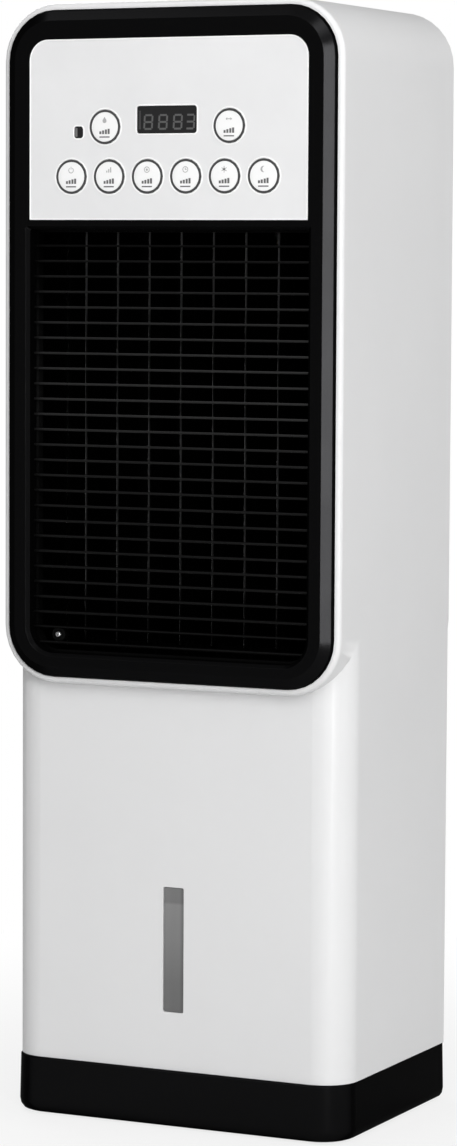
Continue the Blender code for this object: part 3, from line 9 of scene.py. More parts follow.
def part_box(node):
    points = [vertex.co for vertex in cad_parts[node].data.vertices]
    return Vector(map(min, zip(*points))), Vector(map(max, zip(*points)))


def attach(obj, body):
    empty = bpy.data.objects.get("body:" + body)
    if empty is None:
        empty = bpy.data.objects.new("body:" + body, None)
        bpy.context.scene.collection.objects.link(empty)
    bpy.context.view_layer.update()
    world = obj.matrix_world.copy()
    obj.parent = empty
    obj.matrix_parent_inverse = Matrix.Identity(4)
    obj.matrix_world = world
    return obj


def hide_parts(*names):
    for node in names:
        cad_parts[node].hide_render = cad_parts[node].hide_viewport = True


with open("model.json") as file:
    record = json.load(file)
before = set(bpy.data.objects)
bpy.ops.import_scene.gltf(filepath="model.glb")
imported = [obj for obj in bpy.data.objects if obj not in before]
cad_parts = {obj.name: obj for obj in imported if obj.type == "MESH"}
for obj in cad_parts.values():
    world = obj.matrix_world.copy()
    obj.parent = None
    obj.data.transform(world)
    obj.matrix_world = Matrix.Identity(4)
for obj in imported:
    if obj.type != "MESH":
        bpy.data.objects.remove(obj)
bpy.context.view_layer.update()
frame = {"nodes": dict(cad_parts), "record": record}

NODES = frame["nodes"]
RECORD = frame["record"]
BODY_OF = {node: body for body, nodes in RECORD["behaviour"]["bodies"].items() for node in nodes}

# Camera, as the photograph was taken
IMAGE_HEIGHT = 1146
CAMERA_AZIMUTH = 25.854
CAMERA_ELEVATION = 4.588
CAMERA_ROLL = 0.291
CAMERA_DISTANCE = 2.799
CAMERA_TARGET = Vector((0.0006, 0.0, 0.3841))
FOCAL_PIXELS = 3935.8
SENSOR = 36.0
CLIP_END = 20


def place_camera():
    """Camera by the angles, the distance and the roll found from the photograph."""
    azimuth, elevation = math.radians(CAMERA_AZIMUTH), math.radians(CAMERA_ELEVATION)
    back = Vector((math.sin(azimuth) * math.cos(elevation),
                   -math.cos(azimuth) * math.cos(elevation), math.sin(elevation)))
    right = (-back).cross(Vector((0, 0, 1))).normalized()
    up = right.cross(-back)
    roll = math.radians(CAMERA_ROLL)
    turned_right = right * math.cos(roll) + up * math.sin(roll)
    turned_up = up * math.cos(roll) - right * math.sin(roll)
    turn = Matrix((turned_right, turned_up, back)).transposed().to_4x4()
    data = bpy.data.cameras.new("camera")
    data.sensor_width = SENSOR
    data.lens = FOCAL_PIXELS / IMAGE_HEIGHT * SENSOR
    data.clip_end = CLIP_END
    camera = bpy.data.objects.new("camera", data)
    camera.matrix_world = Matrix.Translation(CAMERA_TARGET + back * CAMERA_DISTANCE) @ turn
    bpy.context.scene.collection.objects.link(camera)
    bpy.context.scene.camera = camera
    bpy.context.scene.view_settings.view_transform = "Standard"


# Stage: floor, world and lamps

BACKGROUND = 1.0            # strength that the camera sees
FILL = 0.32                 # strength that lights the object and shows in its gloss
FLOOR_SIZE = 8.0
FLOOR_GREY = 0.62
FLOOR_ROUGHNESS, FLOOR_SPECULAR = 0.85, 0.1
SHADOW_START, SHADOW_REACH = 0.12, 0.75
WHITE_SHARE = 0.8           # of the floor right under the object
LAMP_AIM = Vector((0, 0, 0.4))
# Name, azimuth and elevation in degrees, distance and size in metres, power in watts. The back
# lamp stands clear of what the head's top and rounding mirror to the camera.
LAMPS = (
    ("front_lamp", 22, 39, 2.6, (0.9, 1.2), 20.5),
    ("side_lamp", 90, 30, 2.6, (1.1, 1.5), 13.5),
    ("strip_lamp", 41, 6, 2.5, (0.28, 1.7), 33),
    ("upper_lamp", -27, 55, 2.4, (1.7, 0.6), 7),
    ("back_lamp", 226, 28, 2.8, (1.3, 1.0), 23.5),
)


def mixed(tree, kind, first, second):
    """Clamped result of a math operation on two sockets or numbers."""
    made = tree.nodes.new("ShaderNodeMath")
    made.operation = kind
    made.use_clamp = True
    for socket, value in zip(made.inputs, (first, second)):
        if isinstance(value, (int, float)):
            socket.default_value = value
        else:
            tree.links.new(value, socket)
    return made.outputs[0]


def seen_rays(tree):
    """1 for camera and transmission rays, 0 for the rest."""
    path = tree.nodes.new("ShaderNodeLightPath")
    return mixed(tree, "ADD", path.outputs["Is Camera Ray"], path.outputs["Is Transmission Ray"])


def light_world():
    """White for the camera and a weaker white for every other ray."""
    world = bpy.data.worlds.new("studio")
    bpy.context.scene.world = world
    world.use_nodes = True
    tree = world.node_tree
    tree.nodes.clear()
    shades = []
    for strength in (FILL, BACKGROUND):
        shade = tree.nodes.new("ShaderNodeBackground")
        shade.inputs["Color"].default_value = (1, 1, 1, 1)
        shade.inputs["Strength"].default_value = strength
        shades.append(shade)
    mix = tree.nodes.new("ShaderNodeMixShader")
    out = tree.nodes.new("ShaderNodeOutputWorld")
    tree.links.new(seen_rays(tree), mix.inputs[0])
    tree.links.new(shades[0].outputs[0], mix.inputs[1])
    tree.links.new(shades[1].outputs[0], mix.inputs[2])
    tree.links.new(mix.outputs[0], out.inputs[0])


def area_lamp(name, azimuth, elevation, distance, size, power):
    """Soft rectangular lamp aimed at the middle of the object."""
    turn, rise = math.radians(azimuth), math.radians(elevation)
    away = Vector((math.sin(turn) * math.cos(rise), -math.cos(turn) * math.cos(rise), math.sin(rise)))
    data = bpy.data.lights.new(name, "AREA")
    data.shape = "RECTANGLE"
    data.size, data.size_y = size
    data.energy = power
    lamp = bpy.data.objects.new(name, data)
    lamp.location = LAMP_AIM + away * distance
    lamp.rotation_euler = away.to_track_quat("Z", "Y").to_euler()
    bpy.context.scene.collection.objects.link(lamp)


def add_floor():
    """Pale floor that keeps the object's shadow and fades to the backdrop's white."""
    mesh = bpy.data.meshes.new("floor")
    half = FLOOR_SIZE / 2
    mesh.from_pydata([(-half, -half, 0), (half, -half, 0), (half, half, 0), (-half, half, 0)], [],
                     [(0, 1, 2, 3)])
    floor = bpy.data.objects.new("floor", mesh)
    bpy.context.scene.collection.objects.link(floor)
    made = bpy.data.materials.new("floor")
    made.use_nodes = True
    tree = made.node_tree
    diffuse = tree.nodes["Principled BSDF"]
    diffuse.inputs["Base Color"].default_value = (FLOOR_GREY, FLOOR_GREY, FLOOR_GREY, 1)
    diffuse.inputs["Roughness"].default_value = FLOOR_ROUGHNESS
    diffuse.inputs["Specular IOR Level"].default_value = FLOOR_SPECULAR
    white = tree.nodes.new("ShaderNodeEmission")
    white.inputs["Strength"].default_value = BACKGROUND
    place = tree.nodes.new("ShaderNodeTexCoord")
    length = tree.nodes.new("ShaderNodeVectorMath")
    length.operation = "LENGTH"
    tree.links.new(place.outputs["Object"], length.inputs[0])
    spread = tree.nodes.new("ShaderNodeMapRange")
    spread.interpolation_type = "SMOOTHSTEP"
    spread.inputs["From Min"].default_value = SHADOW_START
    spread.inputs["From Max"].default_value = SHADOW_REACH
    spread.inputs["To Min"].default_value = WHITE_SHARE
    tree.links.new(length.outputs["Value"], spread.inputs["Value"])
    share = mixed(tree, "MULTIPLY", spread.outputs[0], seen_rays(tree))
    mix = tree.nodes.new("ShaderNodeMixShader")
    tree.links.new(share, mix.inputs[0])
    tree.links.new(diffuse.outputs[0], mix.inputs[1])
    tree.links.new(white.outputs[0], mix.inputs[2])
    tree.links.new(mix.outputs[0], tree.nodes["Material Output"].inputs["Surface"])
    mesh.materials.append(made)


# Node helpers for materials

COAT_ROUGHNESS = 0.1
NOISE_ROUGHNESS = 0.55
NOISE_DETAIL, GRAIN_DETAIL = 3.0, 2.0
GRAIN_DEPTH = 0.0002


class Material:
    """Small builder of a Principled material with noise-driven detail."""

    def __init__(self, name, colour, roughness, metallic=0.0, specular=0.5, coat=0.0):
        self.made = bpy.data.materials.new(name)
        self.made.use_nodes = True
        self.tree = self.made.node_tree
        self.shader = self.tree.nodes["Principled BSDF"]
        self.colour = colour
        self.set("Base Color", (*colour, 1))
        self.set("Roughness", roughness)
        self.set("Metallic", metallic)
        self.set("Specular IOR Level", specular)
        self.set("Coat Weight", coat)
        self.set("Coat Roughness", COAT_ROUGHNESS)
        self.coords = self.node("ShaderNodeTexCoord").outputs["Object"]

    def node(self, kind, **values):
        made = self.tree.nodes.new(kind)
        for key, value in values.items():
            setattr(made, key, value)
        return made

    def set(self, socket, value):
        self.shader.inputs[socket].default_value = value

    def link(self, a, b):
        self.tree.links.new(a, b)

    def noise(self, scale, stretch=(1, 1, 1), detail=NOISE_DETAIL):
        """Noise from 0 to 1 in the object's own space; a small stretch draws it out along an axis."""
        place = self.node("ShaderNodeMapping")
        place.inputs["Scale"].default_value = stretch
        self.link(self.coords, place.inputs["Vector"])
        made = self.node("ShaderNodeTexNoise")
        made.inputs["Scale"].default_value = scale
        made.inputs["Detail"].default_value = detail
        made.inputs["Roughness"].default_value = NOISE_ROUGHNESS
        self.link(place.outputs[0], made.inputs["Vector"])
        return made.outputs["Fac"]

    def spread(self, fac, low, high):
        """A value from 0 to 1 brought to the range from low to high."""
        made = self.node("ShaderNodeMapRange")
        made.inputs["To Min"].default_value = low
        made.inputs["To Max"].default_value = high
        self.link(fac, made.inputs["Value"])
        return made.outputs[0]

    def vary_roughness(self, scale, low, high, stretch=(1, 1, 1)):
        """Roughness that wanders between two values."""
        self.link(self.spread(self.noise(scale, stretch), low, high), self.shader.inputs["Roughness"])

    def vary_colour(self, scale, other, amount=1.0, stretch=(1, 1, 1)):
        """Patches of a second colour; returns the node that mixes the two."""
        mix = self.node("ShaderNodeMix", data_type="RGBA")
        mix.inputs["A"].default_value = (*self.colour, 1)
        mix.inputs["B"].default_value = (*other, 1)
        self.link(self.spread(self.noise(scale, stretch), 0, amount), mix.inputs["Factor"])
        self.link(mix.outputs["Result"], self.shader.inputs["Base Color"])
        return mix

    def greys_along(self, axis, first, last, stops):
        """Grey through (share of the way from first to last, value) stops along an axis."""
        split = self.node("ShaderNodeSeparateXYZ")
        self.link(self.coords, split.inputs[0])
        way = self.node("ShaderNodeMapRange")
        way.inputs["From Min"].default_value = first
        way.inputs["From Max"].default_value = last
        self.link(split.outputs[axis], way.inputs["Value"])
        ramp = self.node("ShaderNodeValToRGB")
        elements = ramp.color_ramp.elements
        while len(elements) < len(stops):
            elements.new(0.5)
        for element, (place, value) in zip(elements, stops):
            element.position = place
            element.color = (value, value, value, 1)
        self.link(way.outputs[0], ramp.inputs[0])
        return ramp.outputs[0]

    def multiply(self, base):
        """Multiplying mix node, at full strength, with its first colour linked."""
        mix = self.node("ShaderNodeMix", data_type="RGBA")
        mix.blend_type = "MULTIPLY"
        mix.inputs["Factor"].default_value = 1
        self.link(base, mix.inputs["A"])
        return mix

    def grain(self, scale, strength):
        """Fine bumps of the surface."""
        made = self.node("ShaderNodeBump")
        made.inputs["Strength"].default_value = strength
        made.inputs["Distance"].default_value = GRAIN_DEPTH
        self.link(self.noise(scale, detail=GRAIN_DETAIL), made.inputs["Height"])
        self.link(made.outputs[0], self.shader.inputs["Normal"])


# Shapes

MM = 0.001
WELD = 1e-6                 # metres within which points count as one
FLAT_ANGLE = 0.6            # degrees under which neighbouring facets are joined
BEVEL_SEGMENTS = 3
AXES = {
    "X": lambda u, v, level: (level, u, v),
    "Y": lambda u, v, level: (u, level, v),
    "Z": lambda u, v, level: (u, v, level),
}


def arc(centre, radius, start, end, steps):
    """Points of an arc, with its angles in degrees."""
    angles = [math.radians(start + (end - start) * i / steps) for i in range(steps + 1)]
    return [(centre[0] + radius * math.cos(a), centre[1] + radius * math.sin(a)) for a in angles]


def circle(u, v, radius, sides=64):
    """Closed outline, so its last point isn't its first."""
    return arc((u, v), radius, 0, 360 - 360 / sides, sides - 1)


def rounded(u0, u1, v0, v1, radii, steps):
    """Rectangle with corner radii given from low-left, counter-clockwise."""
    corners = [(u0, v0, 1, 1, 180), (u1, v0, -1, 1, 270), (u1, v1, -1, -1, 0), (u0, v1, 1, -1, 90)]
    points = []
    for (u, v, du, dv, start), radius in zip(corners, radii):
        points += arc((u + du * radius, v + dv * radius), radius, start, start + 90, steps)
    return points


def loft(work, sections, axis="Y", slots=None):
    """Adds a closed skin through (outline, level) sections, with a material slot per band."""
    place = AXES[axis]
    rings = [[work.verts.new(place(u, v, level)) for u, v in outline] for outline, level in sections]
    slots = slots or [0] * (len(rings) - 1)
    made = []
    for slot, low, high in zip(slots, rings, rings[1:]):
        for i in range(len(low)):
            j = (i + 1) % len(low)
            face = work.faces.new((low[i], low[j], high[j], high[i]))
            face.material_index = slot
            made.append(face)
    for slot, end in ((slots[0], rings[0][::-1]), (slots[-1], rings[-1])):
        face = work.faces.new(end)
        face.material_index = slot
        made.append(face)
    bmesh.ops.recalc_face_normals(work, faces=made)
    return made


def piece_from(work, name, node, looks, sharp=32, stands_in=True):
    """Smooth object from a bmesh that rides with a CAD node and, unless told not to, replaces it.

    Edges between faces that meet at more than sharp degrees stay sharp.
    """
    mesh = bpy.data.meshes.new(name)
    work.to_mesh(mesh)
    work.free()
    for look in looks:
        mesh.materials.append(look.made)
    mesh.shade_smooth()
    mesh.set_sharp_from_angle(angle=math.radians(sharp))
    piece = bpy.data.objects.new(name, mesh)
    bpy.context.scene.collection.objects.link(piece)
    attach(piece, BODY_OF[node])
    if stands_in:
        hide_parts(node)
    return piece


def smooth_copy(node, look, width, sharp=33):
    """Copy of a CAD node in its place, with smooth shading and rounded edges unless width is 0."""
    work = bmesh.new()
    work.from_mesh(NODES[node].data)
    bmesh.ops.remove_doubles(work, verts=work.verts, dist=WELD)
    bmesh.ops.dissolve_limit(work, angle_limit=math.radians(FLAT_ANGLE),
                             verts=work.verts, edges=work.edges)
    for face in work.faces:
        face.material_index = 0
    mesh = bpy.data.meshes.new(node)
    work.to_mesh(mesh)
    work.free()
    rough = bpy.data.objects.new("rough", mesh)
    bpy.context.scene.collection.objects.link(rough)
    if width:
        bevel = rough.modifiers.new("bevel", "BEVEL")
        bevel.width = width
        bevel.segments = BEVEL_SEGMENTS
        bevel.limit_method = "ANGLE"
        bevel.angle_limit = math.radians(sharp)
        bevel.miter_outer = "MITER_ARC"
    evaluated = rough.evaluated_get(bpy.context.evaluated_depsgraph_get())
    work = bmesh.new()
    work.from_mesh(evaluated.to_mesh())
    bpy.data.objects.remove(rough)
    piece = piece_from(work, f"{node}_fine", node, [look], sharp)
    normals = piece.modifiers.new("normals", "WEIGHTED_NORMAL")
    normals.keep_sharp = True


# Looks

WINDOW_HALF_WIDTH = 0.0079  # of what shows; its hidden flange is wider
# Tones from the window's foot to its top and from its left edge to its right one; the darker left and
# right ends are painted shade of the window's sides
WINDOW_HEIGHT_TONES = ((0.0, 0.135), (0.25, 0.150), (0.55, 0.205), (0.84, 0.240), (0.86, 0.175),
                       (1.0, 0.190))
WINDOW_SIDE_SHADE_TONES = ((0.0, 0.82), (0.10, 1.0), (0.45, 0.95), (0.80, 0.95), (0.88, 0.74), (1.0, 0.66))
STREAK_STRENGTH, STREAK_SHADE = 0.9, 0.8
# Greys of the grille from its lowest slat (0) to its top one (1), painted light and shade: the slats
# darker at the foot and under the panel at the top, the vane noses paler in two bands
GRILLE_LOW, GRILLE_HIGH = 0.333, 0.625
# Painted shade on the slats at the foot and at the top under the panel, painted light between
SLAT_PAINTED_LIGHT = ((0.0, 0.009), (0.15, 0.012), (0.38, 0.014), (0.48, 0.018), (0.56, 0.030), (0.68, 0.028),
              (0.78, 0.021), (0.88, 0.012), (0.96, 0.005))
# Painted highlight on the vane noses in two bands, with painted shade between them and at the foot
NOSE_PAINTED_LIGHT = ((0.12, 0.001), (0.17, 0.022), (0.50, 0.026), (0.57, 0.001), (0.76, 0.001), (0.83, 0.022),
              (0.93, 0.034))
BLUE_SHARE = 1.04           # of the other two channels, in the blacks
TRACK_SCALE, TRACK_WIDTH = 190, 0.07
KEY_BOARD_FACE_Y, POWER_BOARD_FACE_Z = -0.0872, 0.6395


def shell_white():
    """White whose roughness stays over 0.28, because denoising marks a look that crosses 0.274."""
    look = Material("shell_white", (0.73, 0.73, 0.733), 0.30, specular=0.42)
    look.vary_colour(9, (0.675, 0.675, 0.68), 0.8)
    look.vary_roughness(14, 0.285, 0.335)
    look.grain(260, 0.012)
    return look


def deep_black(name, colour, roughness, metallic, grain):
    """Black plastic whose dark edge tint keeps grazing faces as deep as the rest."""
    look = Material(name, (colour, colour, colour * BLUE_SHARE), roughness, metallic, 0.05)
    look.set("Specular Tint", (0, 0, 0, 1))
    look.vary_roughness(20, roughness * 0.85, roughness * 1.2)
    look.grain(300, grain)
    return look


def plain_look(name, colour, roughness, specular=0.5, grain=0.015):
    """Plain plastic with slightly darker patches."""
    look = Material(name, colour, roughness, specular=specular)
    darker = tuple(c * 0.9 for c in colour)
    look.vary_colour(25, darker, 0.8)
    look.vary_roughness(30, roughness * 0.85, min(roughness * 1.15, 1))
    look.grain(300, grain)
    return look


def grille_painted_light(look, tones):
    """Painted light and shade as a base colour that changes up the grille."""
    greys = look.greys_along("Z", GRILLE_LOW, GRILLE_HIGH, tones)
    look.link(greys, look.shader.inputs["Base Color"])
    return look


def level_look():
    """Smoky window whose tone changes down its height, with painted shade towards its left and right
    edges and faint streaks.
    """
    look = Material("smoke_window", (0.21, 0.21, 0.212), 0.2, coat=0.5)
    low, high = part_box("level_window")
    upright = look.greys_along("Z", low.z, high.z, WINDOW_HEIGHT_TONES)
    # Painted shade of the window's sides, deeper at its right edge
    across = look.greys_along("X", -WINDOW_HALF_WIDTH, WINDOW_HALF_WIDTH, WINDOW_SIDE_SHADE_TONES)
    both = look.multiply(upright)
    look.link(across, both.inputs["B"])
    streaked = look.multiply(both.outputs["Result"])
    streaks = look.noise(160, (1, 1, 0.04))
    look.link(look.spread(streaks, 0, STREAK_STRENGTH), streaked.inputs["Factor"])
    streaked.inputs["B"].default_value = (STREAK_SHADE, STREAK_SHADE, STREAK_SHADE, 1)
    look.link(streaked.outputs["Result"], look.shader.inputs["Base Color"])
    look.vary_roughness(60, 0.16, 0.26)
    return look


def rubber_look():
    """Matt rubber with a fine, deep grain."""
    look = Material("rubber", (0.018, 0.018, 0.018), 0.8, specular=0.25)
    look.vary_colour(60, (0.030, 0.030, 0.029), 0.7)
    look.vary_roughness(40, 0.7, 0.9)
    look.grain(1800, 0.25)
    return look


def zinc_look():
    """Plated sheet with faint spangles."""
    look = Material("zinc", (0.55, 0.56, 0.57), 0.36, 0.9)
    look.vary_colour(180, (0.42, 0.43, 0.45), 0.8)
    look.vary_roughness(90, 0.28, 0.46)
    look.grain(400, 0.05)
    return look


def steel_look():
    """Bright steel with fine drawn lines along Z."""
    look = Material("bright_steel", (0.62, 0.62, 0.63), 0.24, 1.0)
    look.vary_colour(300, (0.50, 0.50, 0.51), 0.8, (1, 1, 0.03))
    look.vary_roughness(500, 0.18, 0.34, (1, 1, 0.03))
    return look


def tank_look():
    """Milky plastic of the water drawer."""
    look = Material("milky_plastic", (0.64, 0.67, 0.70), 0.42, specular=0.4)
    look.vary_colour(14, (0.56, 0.60, 0.64), 0.8)
    look.vary_roughness(24, 0.36, 0.5)
    look.grain(260, 0.015)
    return look


def board_look(name, axis, face, operation):
    """Green board with pale tracks; whatever stands past its face is dark component plastic."""
    look = Material(name, (0.012, 0.10, 0.045), 0.38)
    cells = look.node("ShaderNodeTexVoronoi", feature="DISTANCE_TO_EDGE")
    cells.inputs["Scale"].default_value = TRACK_SCALE
    look.link(look.coords, cells.inputs["Vector"])
    track = look.node("ShaderNodeMath", operation="LESS_THAN")
    track.inputs[1].default_value = TRACK_WIDTH
    look.link(cells.outputs["Distance"], track.inputs[0])
    green = look.vary_colour(70, (0.02, 0.20, 0.09), 0.5)
    look.link(track.outputs[0], green.inputs["Factor"])
    split = look.node("ShaderNodeSeparateXYZ")
    look.link(look.coords, split.inputs[0])
    past = look.node("ShaderNodeMath", operation=operation)
    past.inputs[1].default_value = face
    look.link(split.outputs[axis], past.inputs[0])
    part = look.node("ShaderNodeMix", data_type="RGBA")
    part.inputs["B"].default_value = (0.025, 0.025, 0.028, 1)
    look.link(past.outputs[0], part.inputs["Factor"])
    look.link(green.outputs["Result"], part.inputs["A"])
    look.link(part.outputs["Result"], look.shader.inputs["Base Color"])
    look.grain(500, 0.08)
    return look


def pad_look():
    """Cellulose paper with coarse fibres."""
    look = Material("cellulose", (0.33, 0.24, 0.13), 0.85, specular=0.1)
    look.vary_colour(260, (0.19, 0.13, 0.065), 1.0, (1, 1, 0.3))
    look.vary_roughness(120, 0.75, 0.95)
    look.grain(900, 0.4)
    return look


def net_look():
    """Dark nylon with a coarse grain."""
    look = Material("nylon_net", (0.030, 0.030, 0.033), 0.55, specular=0.3)
    look.vary_colour(400, (0.055, 0.055, 0.060), 0.8)
    look.vary_roughness(200, 0.45, 0.65)
    look.grain(2500, 0.2)
    return look


# Marks on keys and display, all drawn in millimetres on the upright plane

INK = 0.00004               # metres that a print stands out of its face and into it
LINE = 0.5
CLOCK_RADIUS = 1.9
ICON_LIFT = 4.6
ARROW = [(2.4, 0), (1.2, 1.0), (1.2, -1.0)]


def ribbon(path, width):
    """Outline of a stroke of even width along a path."""
    left, right = [], []
    for i, point in enumerate(path):
        before, after = path[max(i - 1, 0)], path[min(i + 1, len(path) - 1)]
        run = (after[0] - before[0], after[1] - before[1])
        scale = width / 2 / math.hypot(*run)
        left.append((point[0] - run[1] * scale, point[1] + run[0] * scale))
        right.append((point[0] + run[1] * scale, point[1] - run[0] * scale))
    return left + right[::-1]


def columns(rows, foot, width):
    """Upright strokes from a common foot, given as (x, rise) rows."""
    return [ribbon([(x, foot), (x, foot + rise)], width) for x, rise in rows]


def spokes(count, radius, width):
    """Strokes through the middle, turned evenly."""
    turns = [math.pi * i / count for i in range(count)]
    tips = [(radius * math.sin(t), radius * math.cos(t)) for t in turns]
    return [ribbon([(-x, -z), (x, z)], width) for x, z in tips]


DIAL = ribbon(arc((0, 0), CLOCK_RADIUS, 0, 358, 32), LINE)
ICONS = {
    "power": [ribbon(arc((0, -0.2), 1.8, 125, 415, 24), LINE), ribbon([(0, 0.4), (0, 2.3)], LINE)],
    "speed": columns(((-1.5, 1.3), (0, 2.4), (1.5, 3.6)), -1.8, 0.8),
    "mode": [DIAL, circle(0, 0, 0.8, 20)],
    "timer": [DIAL, ribbon([(0, -0.2), (0, 1.2)], LINE), ribbon([(-0.2, 0), (1.0, 0)], LINE)],
    "cool": spokes(3, 2.2, LINE) + [circle(0, 0, 0.7, 16)],
    "night": [arc((0, 0), 2.1, 70, 290, 20) + arc((1.3, 0), 2.05, 255, 105, 16)],
    "fresh": [arc((0, -0.5), 1.5, 150, 390, 20) + [(0, 2.3)]],
    "swing": [ribbon([(-1.4, 0), (1.4, 0)], LINE), ARROW, [(-x, z) for x, z in ARROW[::-1]]],
}
KEYS = tuple(ICONS)
# Abstract marks in place of the captions, which can't be read in the photograph
LOWER_MARK = columns(((-3.2, 1.9), (-1.1, 2.5), (1.1, 3.1), (3.2, 3.6)), -4.9, 1.55)
UNDERLINE = [ribbon([(-3.9, -6.9), (3.9, -6.9)], 0.85)]


def ink(work, outlines, x, z, face, slot, lift=0.0):
    """Thin printed shapes that stand on a face towards -Y."""
    for outline in outlines:
        placed = [(x + u * MM, z + (v + lift) * MM) for u, v in outline]
        loft(work, [(placed, face - INK), (placed, face + INK)], "Y", [slot])


KEY_LOOKS = ("cap", "ring", "pale_ink", "dark_ink")
CAP, RING, PALE_INK, DARK_INK = range(4)
KEY_RADIUS = 0.0117
KEY_FLANGE_Y = -0.0964
KEY_FLANGE_RADIUS, KEY_FLANGE_THICKNESS = 0.0131, 0.001
KEY_STEM_RADIUS = 0.003
KEY_SHARP = 40              # degrees
CAP_DEPTH = 0.00005         # of the cap's flat middle behind the front of the solid
# Radius, depth behind the front of the solid and slot of the band that follows, from the middle of
# the cap over the groove to the ring
KEY_FACE = (
    (0.0060, CAP_DEPTH, CAP), (0.0095, 0.00012, CAP), (0.0100, 0.00022, CAP),
    (0.0102, 0.0005, RING), (0.0102, 0.0009, RING),
    (0.01035, 0.0009, RING), (0.01035, 0.0003, RING), (0.0105, 0.0001, RING),
    (0.0115, 0.0001, RING), (KEY_RADIUS, 0.0004, RING),
)


def middle_of(low, high):
    """X and Z of the middle of a box."""
    return (low.x + high.x) / 2, (low.z + high.z) / 2


def push_keys(looks):
    """White caps in dark rings, with generic signs printed on them."""
    for name in KEYS:
        node = f"button_{name}"
        low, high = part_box(node)
        x, z = middle_of(low, high)
        back = KEY_FLANGE_Y + KEY_FLANGE_THICKNESS
        profile = [(radius, low.y + depth, slot) for radius, depth, slot in KEY_FACE]
        profile += [(KEY_RADIUS, KEY_FLANGE_Y, CAP), (KEY_FLANGE_RADIUS, KEY_FLANGE_Y, CAP),
                    (KEY_FLANGE_RADIUS, back, CAP), (KEY_STEM_RADIUS, back, CAP),
                    (KEY_STEM_RADIUS, high.y, CAP)]
        work = bmesh.new()
        loft(work, [(circle(x, z, radius), y) for radius, y, slot in profile], "Y",
             [slot for radius, y, slot in profile[:-1]])
        ink(work, ICONS[name], x, z, low.y, PALE_INK, ICON_LIFT)
        ink(work, LOWER_MARK + UNDERLINE, x, z, low.y + CAP_DEPTH, DARK_INK)
        piece_from(work, f"key_{name}_fine", node, [looks[look] for look in KEY_LOOKS], KEY_SHARP)


# Figures and lines of the lenses, in millimetres round the middle of each lens
SEGMENT, SEGMENT_GAP = 1.3, 0.35
DIGIT_HALF, DIGIT_RISE = 2.95, 4.65
DIGIT_CENTRES = (-14.1, -2.9, 8.4)
SIGN_CENTRE, SIGN_BARS = 17.9, (0, 1, 2, 4, 6)
DIGIT_LEAN = 0.06
DIGIT_LIFT = -1.6
EDGE_LINE, EDGE_LINE_WIDTH = ((-20.6, -6.5), (-20.6, 6.2)), 1.4
RECEIVER_LINE, RECEIVER_LINE_WIDTH = ((-1.9, -3.0), (-1.9, 3.0)), 1.7
# Form of the lenses, in metres
LENS_EDGE = 0.0003
DISPLAY_CORNER, DISPLAY_STEPS = 0.0015, 10
RECEIVER_CORNER, RECEIVER_STEPS = 0.0006, 6


def seven_segments(x, only=range(7)):
    """Outlines of the chosen bars of a digit, in millimetres round the display's centre."""
    w, h, gap = DIGIT_HALF, DIGIT_RISE, SEGMENT_GAP
    bars = [((-w + gap, level), (w - gap, level)) for level in (h, 0, -h)]
    bars += [((-w, gap), (-w, h - gap)), ((w, gap), (w, h - gap)), ((-w, -gap), (-w, gap - h)),
             ((w, -gap), (w, gap - h))]
    placed = [[(x + a + DIGIT_LEAN * b, b) for a, b in bars[i]] for i in only]
    return [ribbon(bar, SEGMENT) for bar in placed]


def lens(low, high, corner, steps):
    """Bmesh of a rounded plate over a box, with a softened front edge."""
    work = bmesh.new()
    outline, inner = (rounded(low.x + shift, high.x - shift, low.z + shift, high.z - shift,
                              [corner - shift] * 4, steps) for shift in (0, LENS_EDGE))
    loft(work, [(inner, low.y), (outline, low.y + LENS_EDGE), (outline, high.y)])
    return work


def display(looks):
    """Dark lens with plain figures and a pale line at its left edge."""
    low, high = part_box("display_window")
    x, z = middle_of(low, high)
    work = lens(low, high, DISPLAY_CORNER, DISPLAY_STEPS)
    digits = [bar for centre in DIGIT_CENTRES for bar in seven_segments(centre)]
    digits += seven_segments(SIGN_CENTRE, SIGN_BARS)
    ink(work, digits, x, z, low.y, 1, DIGIT_LIFT)
    ink(work, [ribbon(EDGE_LINE, EDGE_LINE_WIDTH)], x, z, low.y, 2)
    piece_from(work, "display_fine", "display_window",
               [looks["lens"], looks["segment"], looks["lens_edge"]])


def receiver_window(looks):
    """Small dark lens with one pale line."""
    low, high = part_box("ir_window")
    work = lens(low, high, RECEIVER_CORNER, RECEIVER_STEPS)
    ink(work, [ribbon(RECEIVER_LINE, RECEIVER_LINE_WIDTH)], *middle_of(low, high), low.y, 1)
    piece_from(work, "ir_fine", "ir_window", [looks["lens"], looks["pale_mark"]])


# Vanes, screws, pad, net and beads

BAR_EDGE = 0.0003


def bar(work, outline, low, high):
    """Closed upright bar with softened ends."""
    u = sum(point[0] for point in outline) / len(outline)
    v = sum(point[1] for point in outline) / len(outline)
    shrink = 1 - BAR_EDGE / max(math.hypot(a - u, b - v) for a, b in outline)
    small = [(u + (a - u) * shrink, v + (b - v) * shrink) for a, b in outline]
    return loft(work, [(small, low), (outline, low + BAR_EDGE), (outline, high - BAR_EDGE),
                       (small, high)], "Z")


VANES = 7
VANE_SIDES, PIN_SIDES = 64, 32
VANE_THICKNESS = 0.0018
VANE_PIN = 0.0018           # radius of the end pins and of the crank
VANE_BOTTOM, VANE_TOP = 0.3394, 0.6254
CRANK_REACH = 0.008
CRANK_BOTTOM = 0.3355
NOSE_DEPTH = 0.0016
PIN_OVERLAP = 0.0016


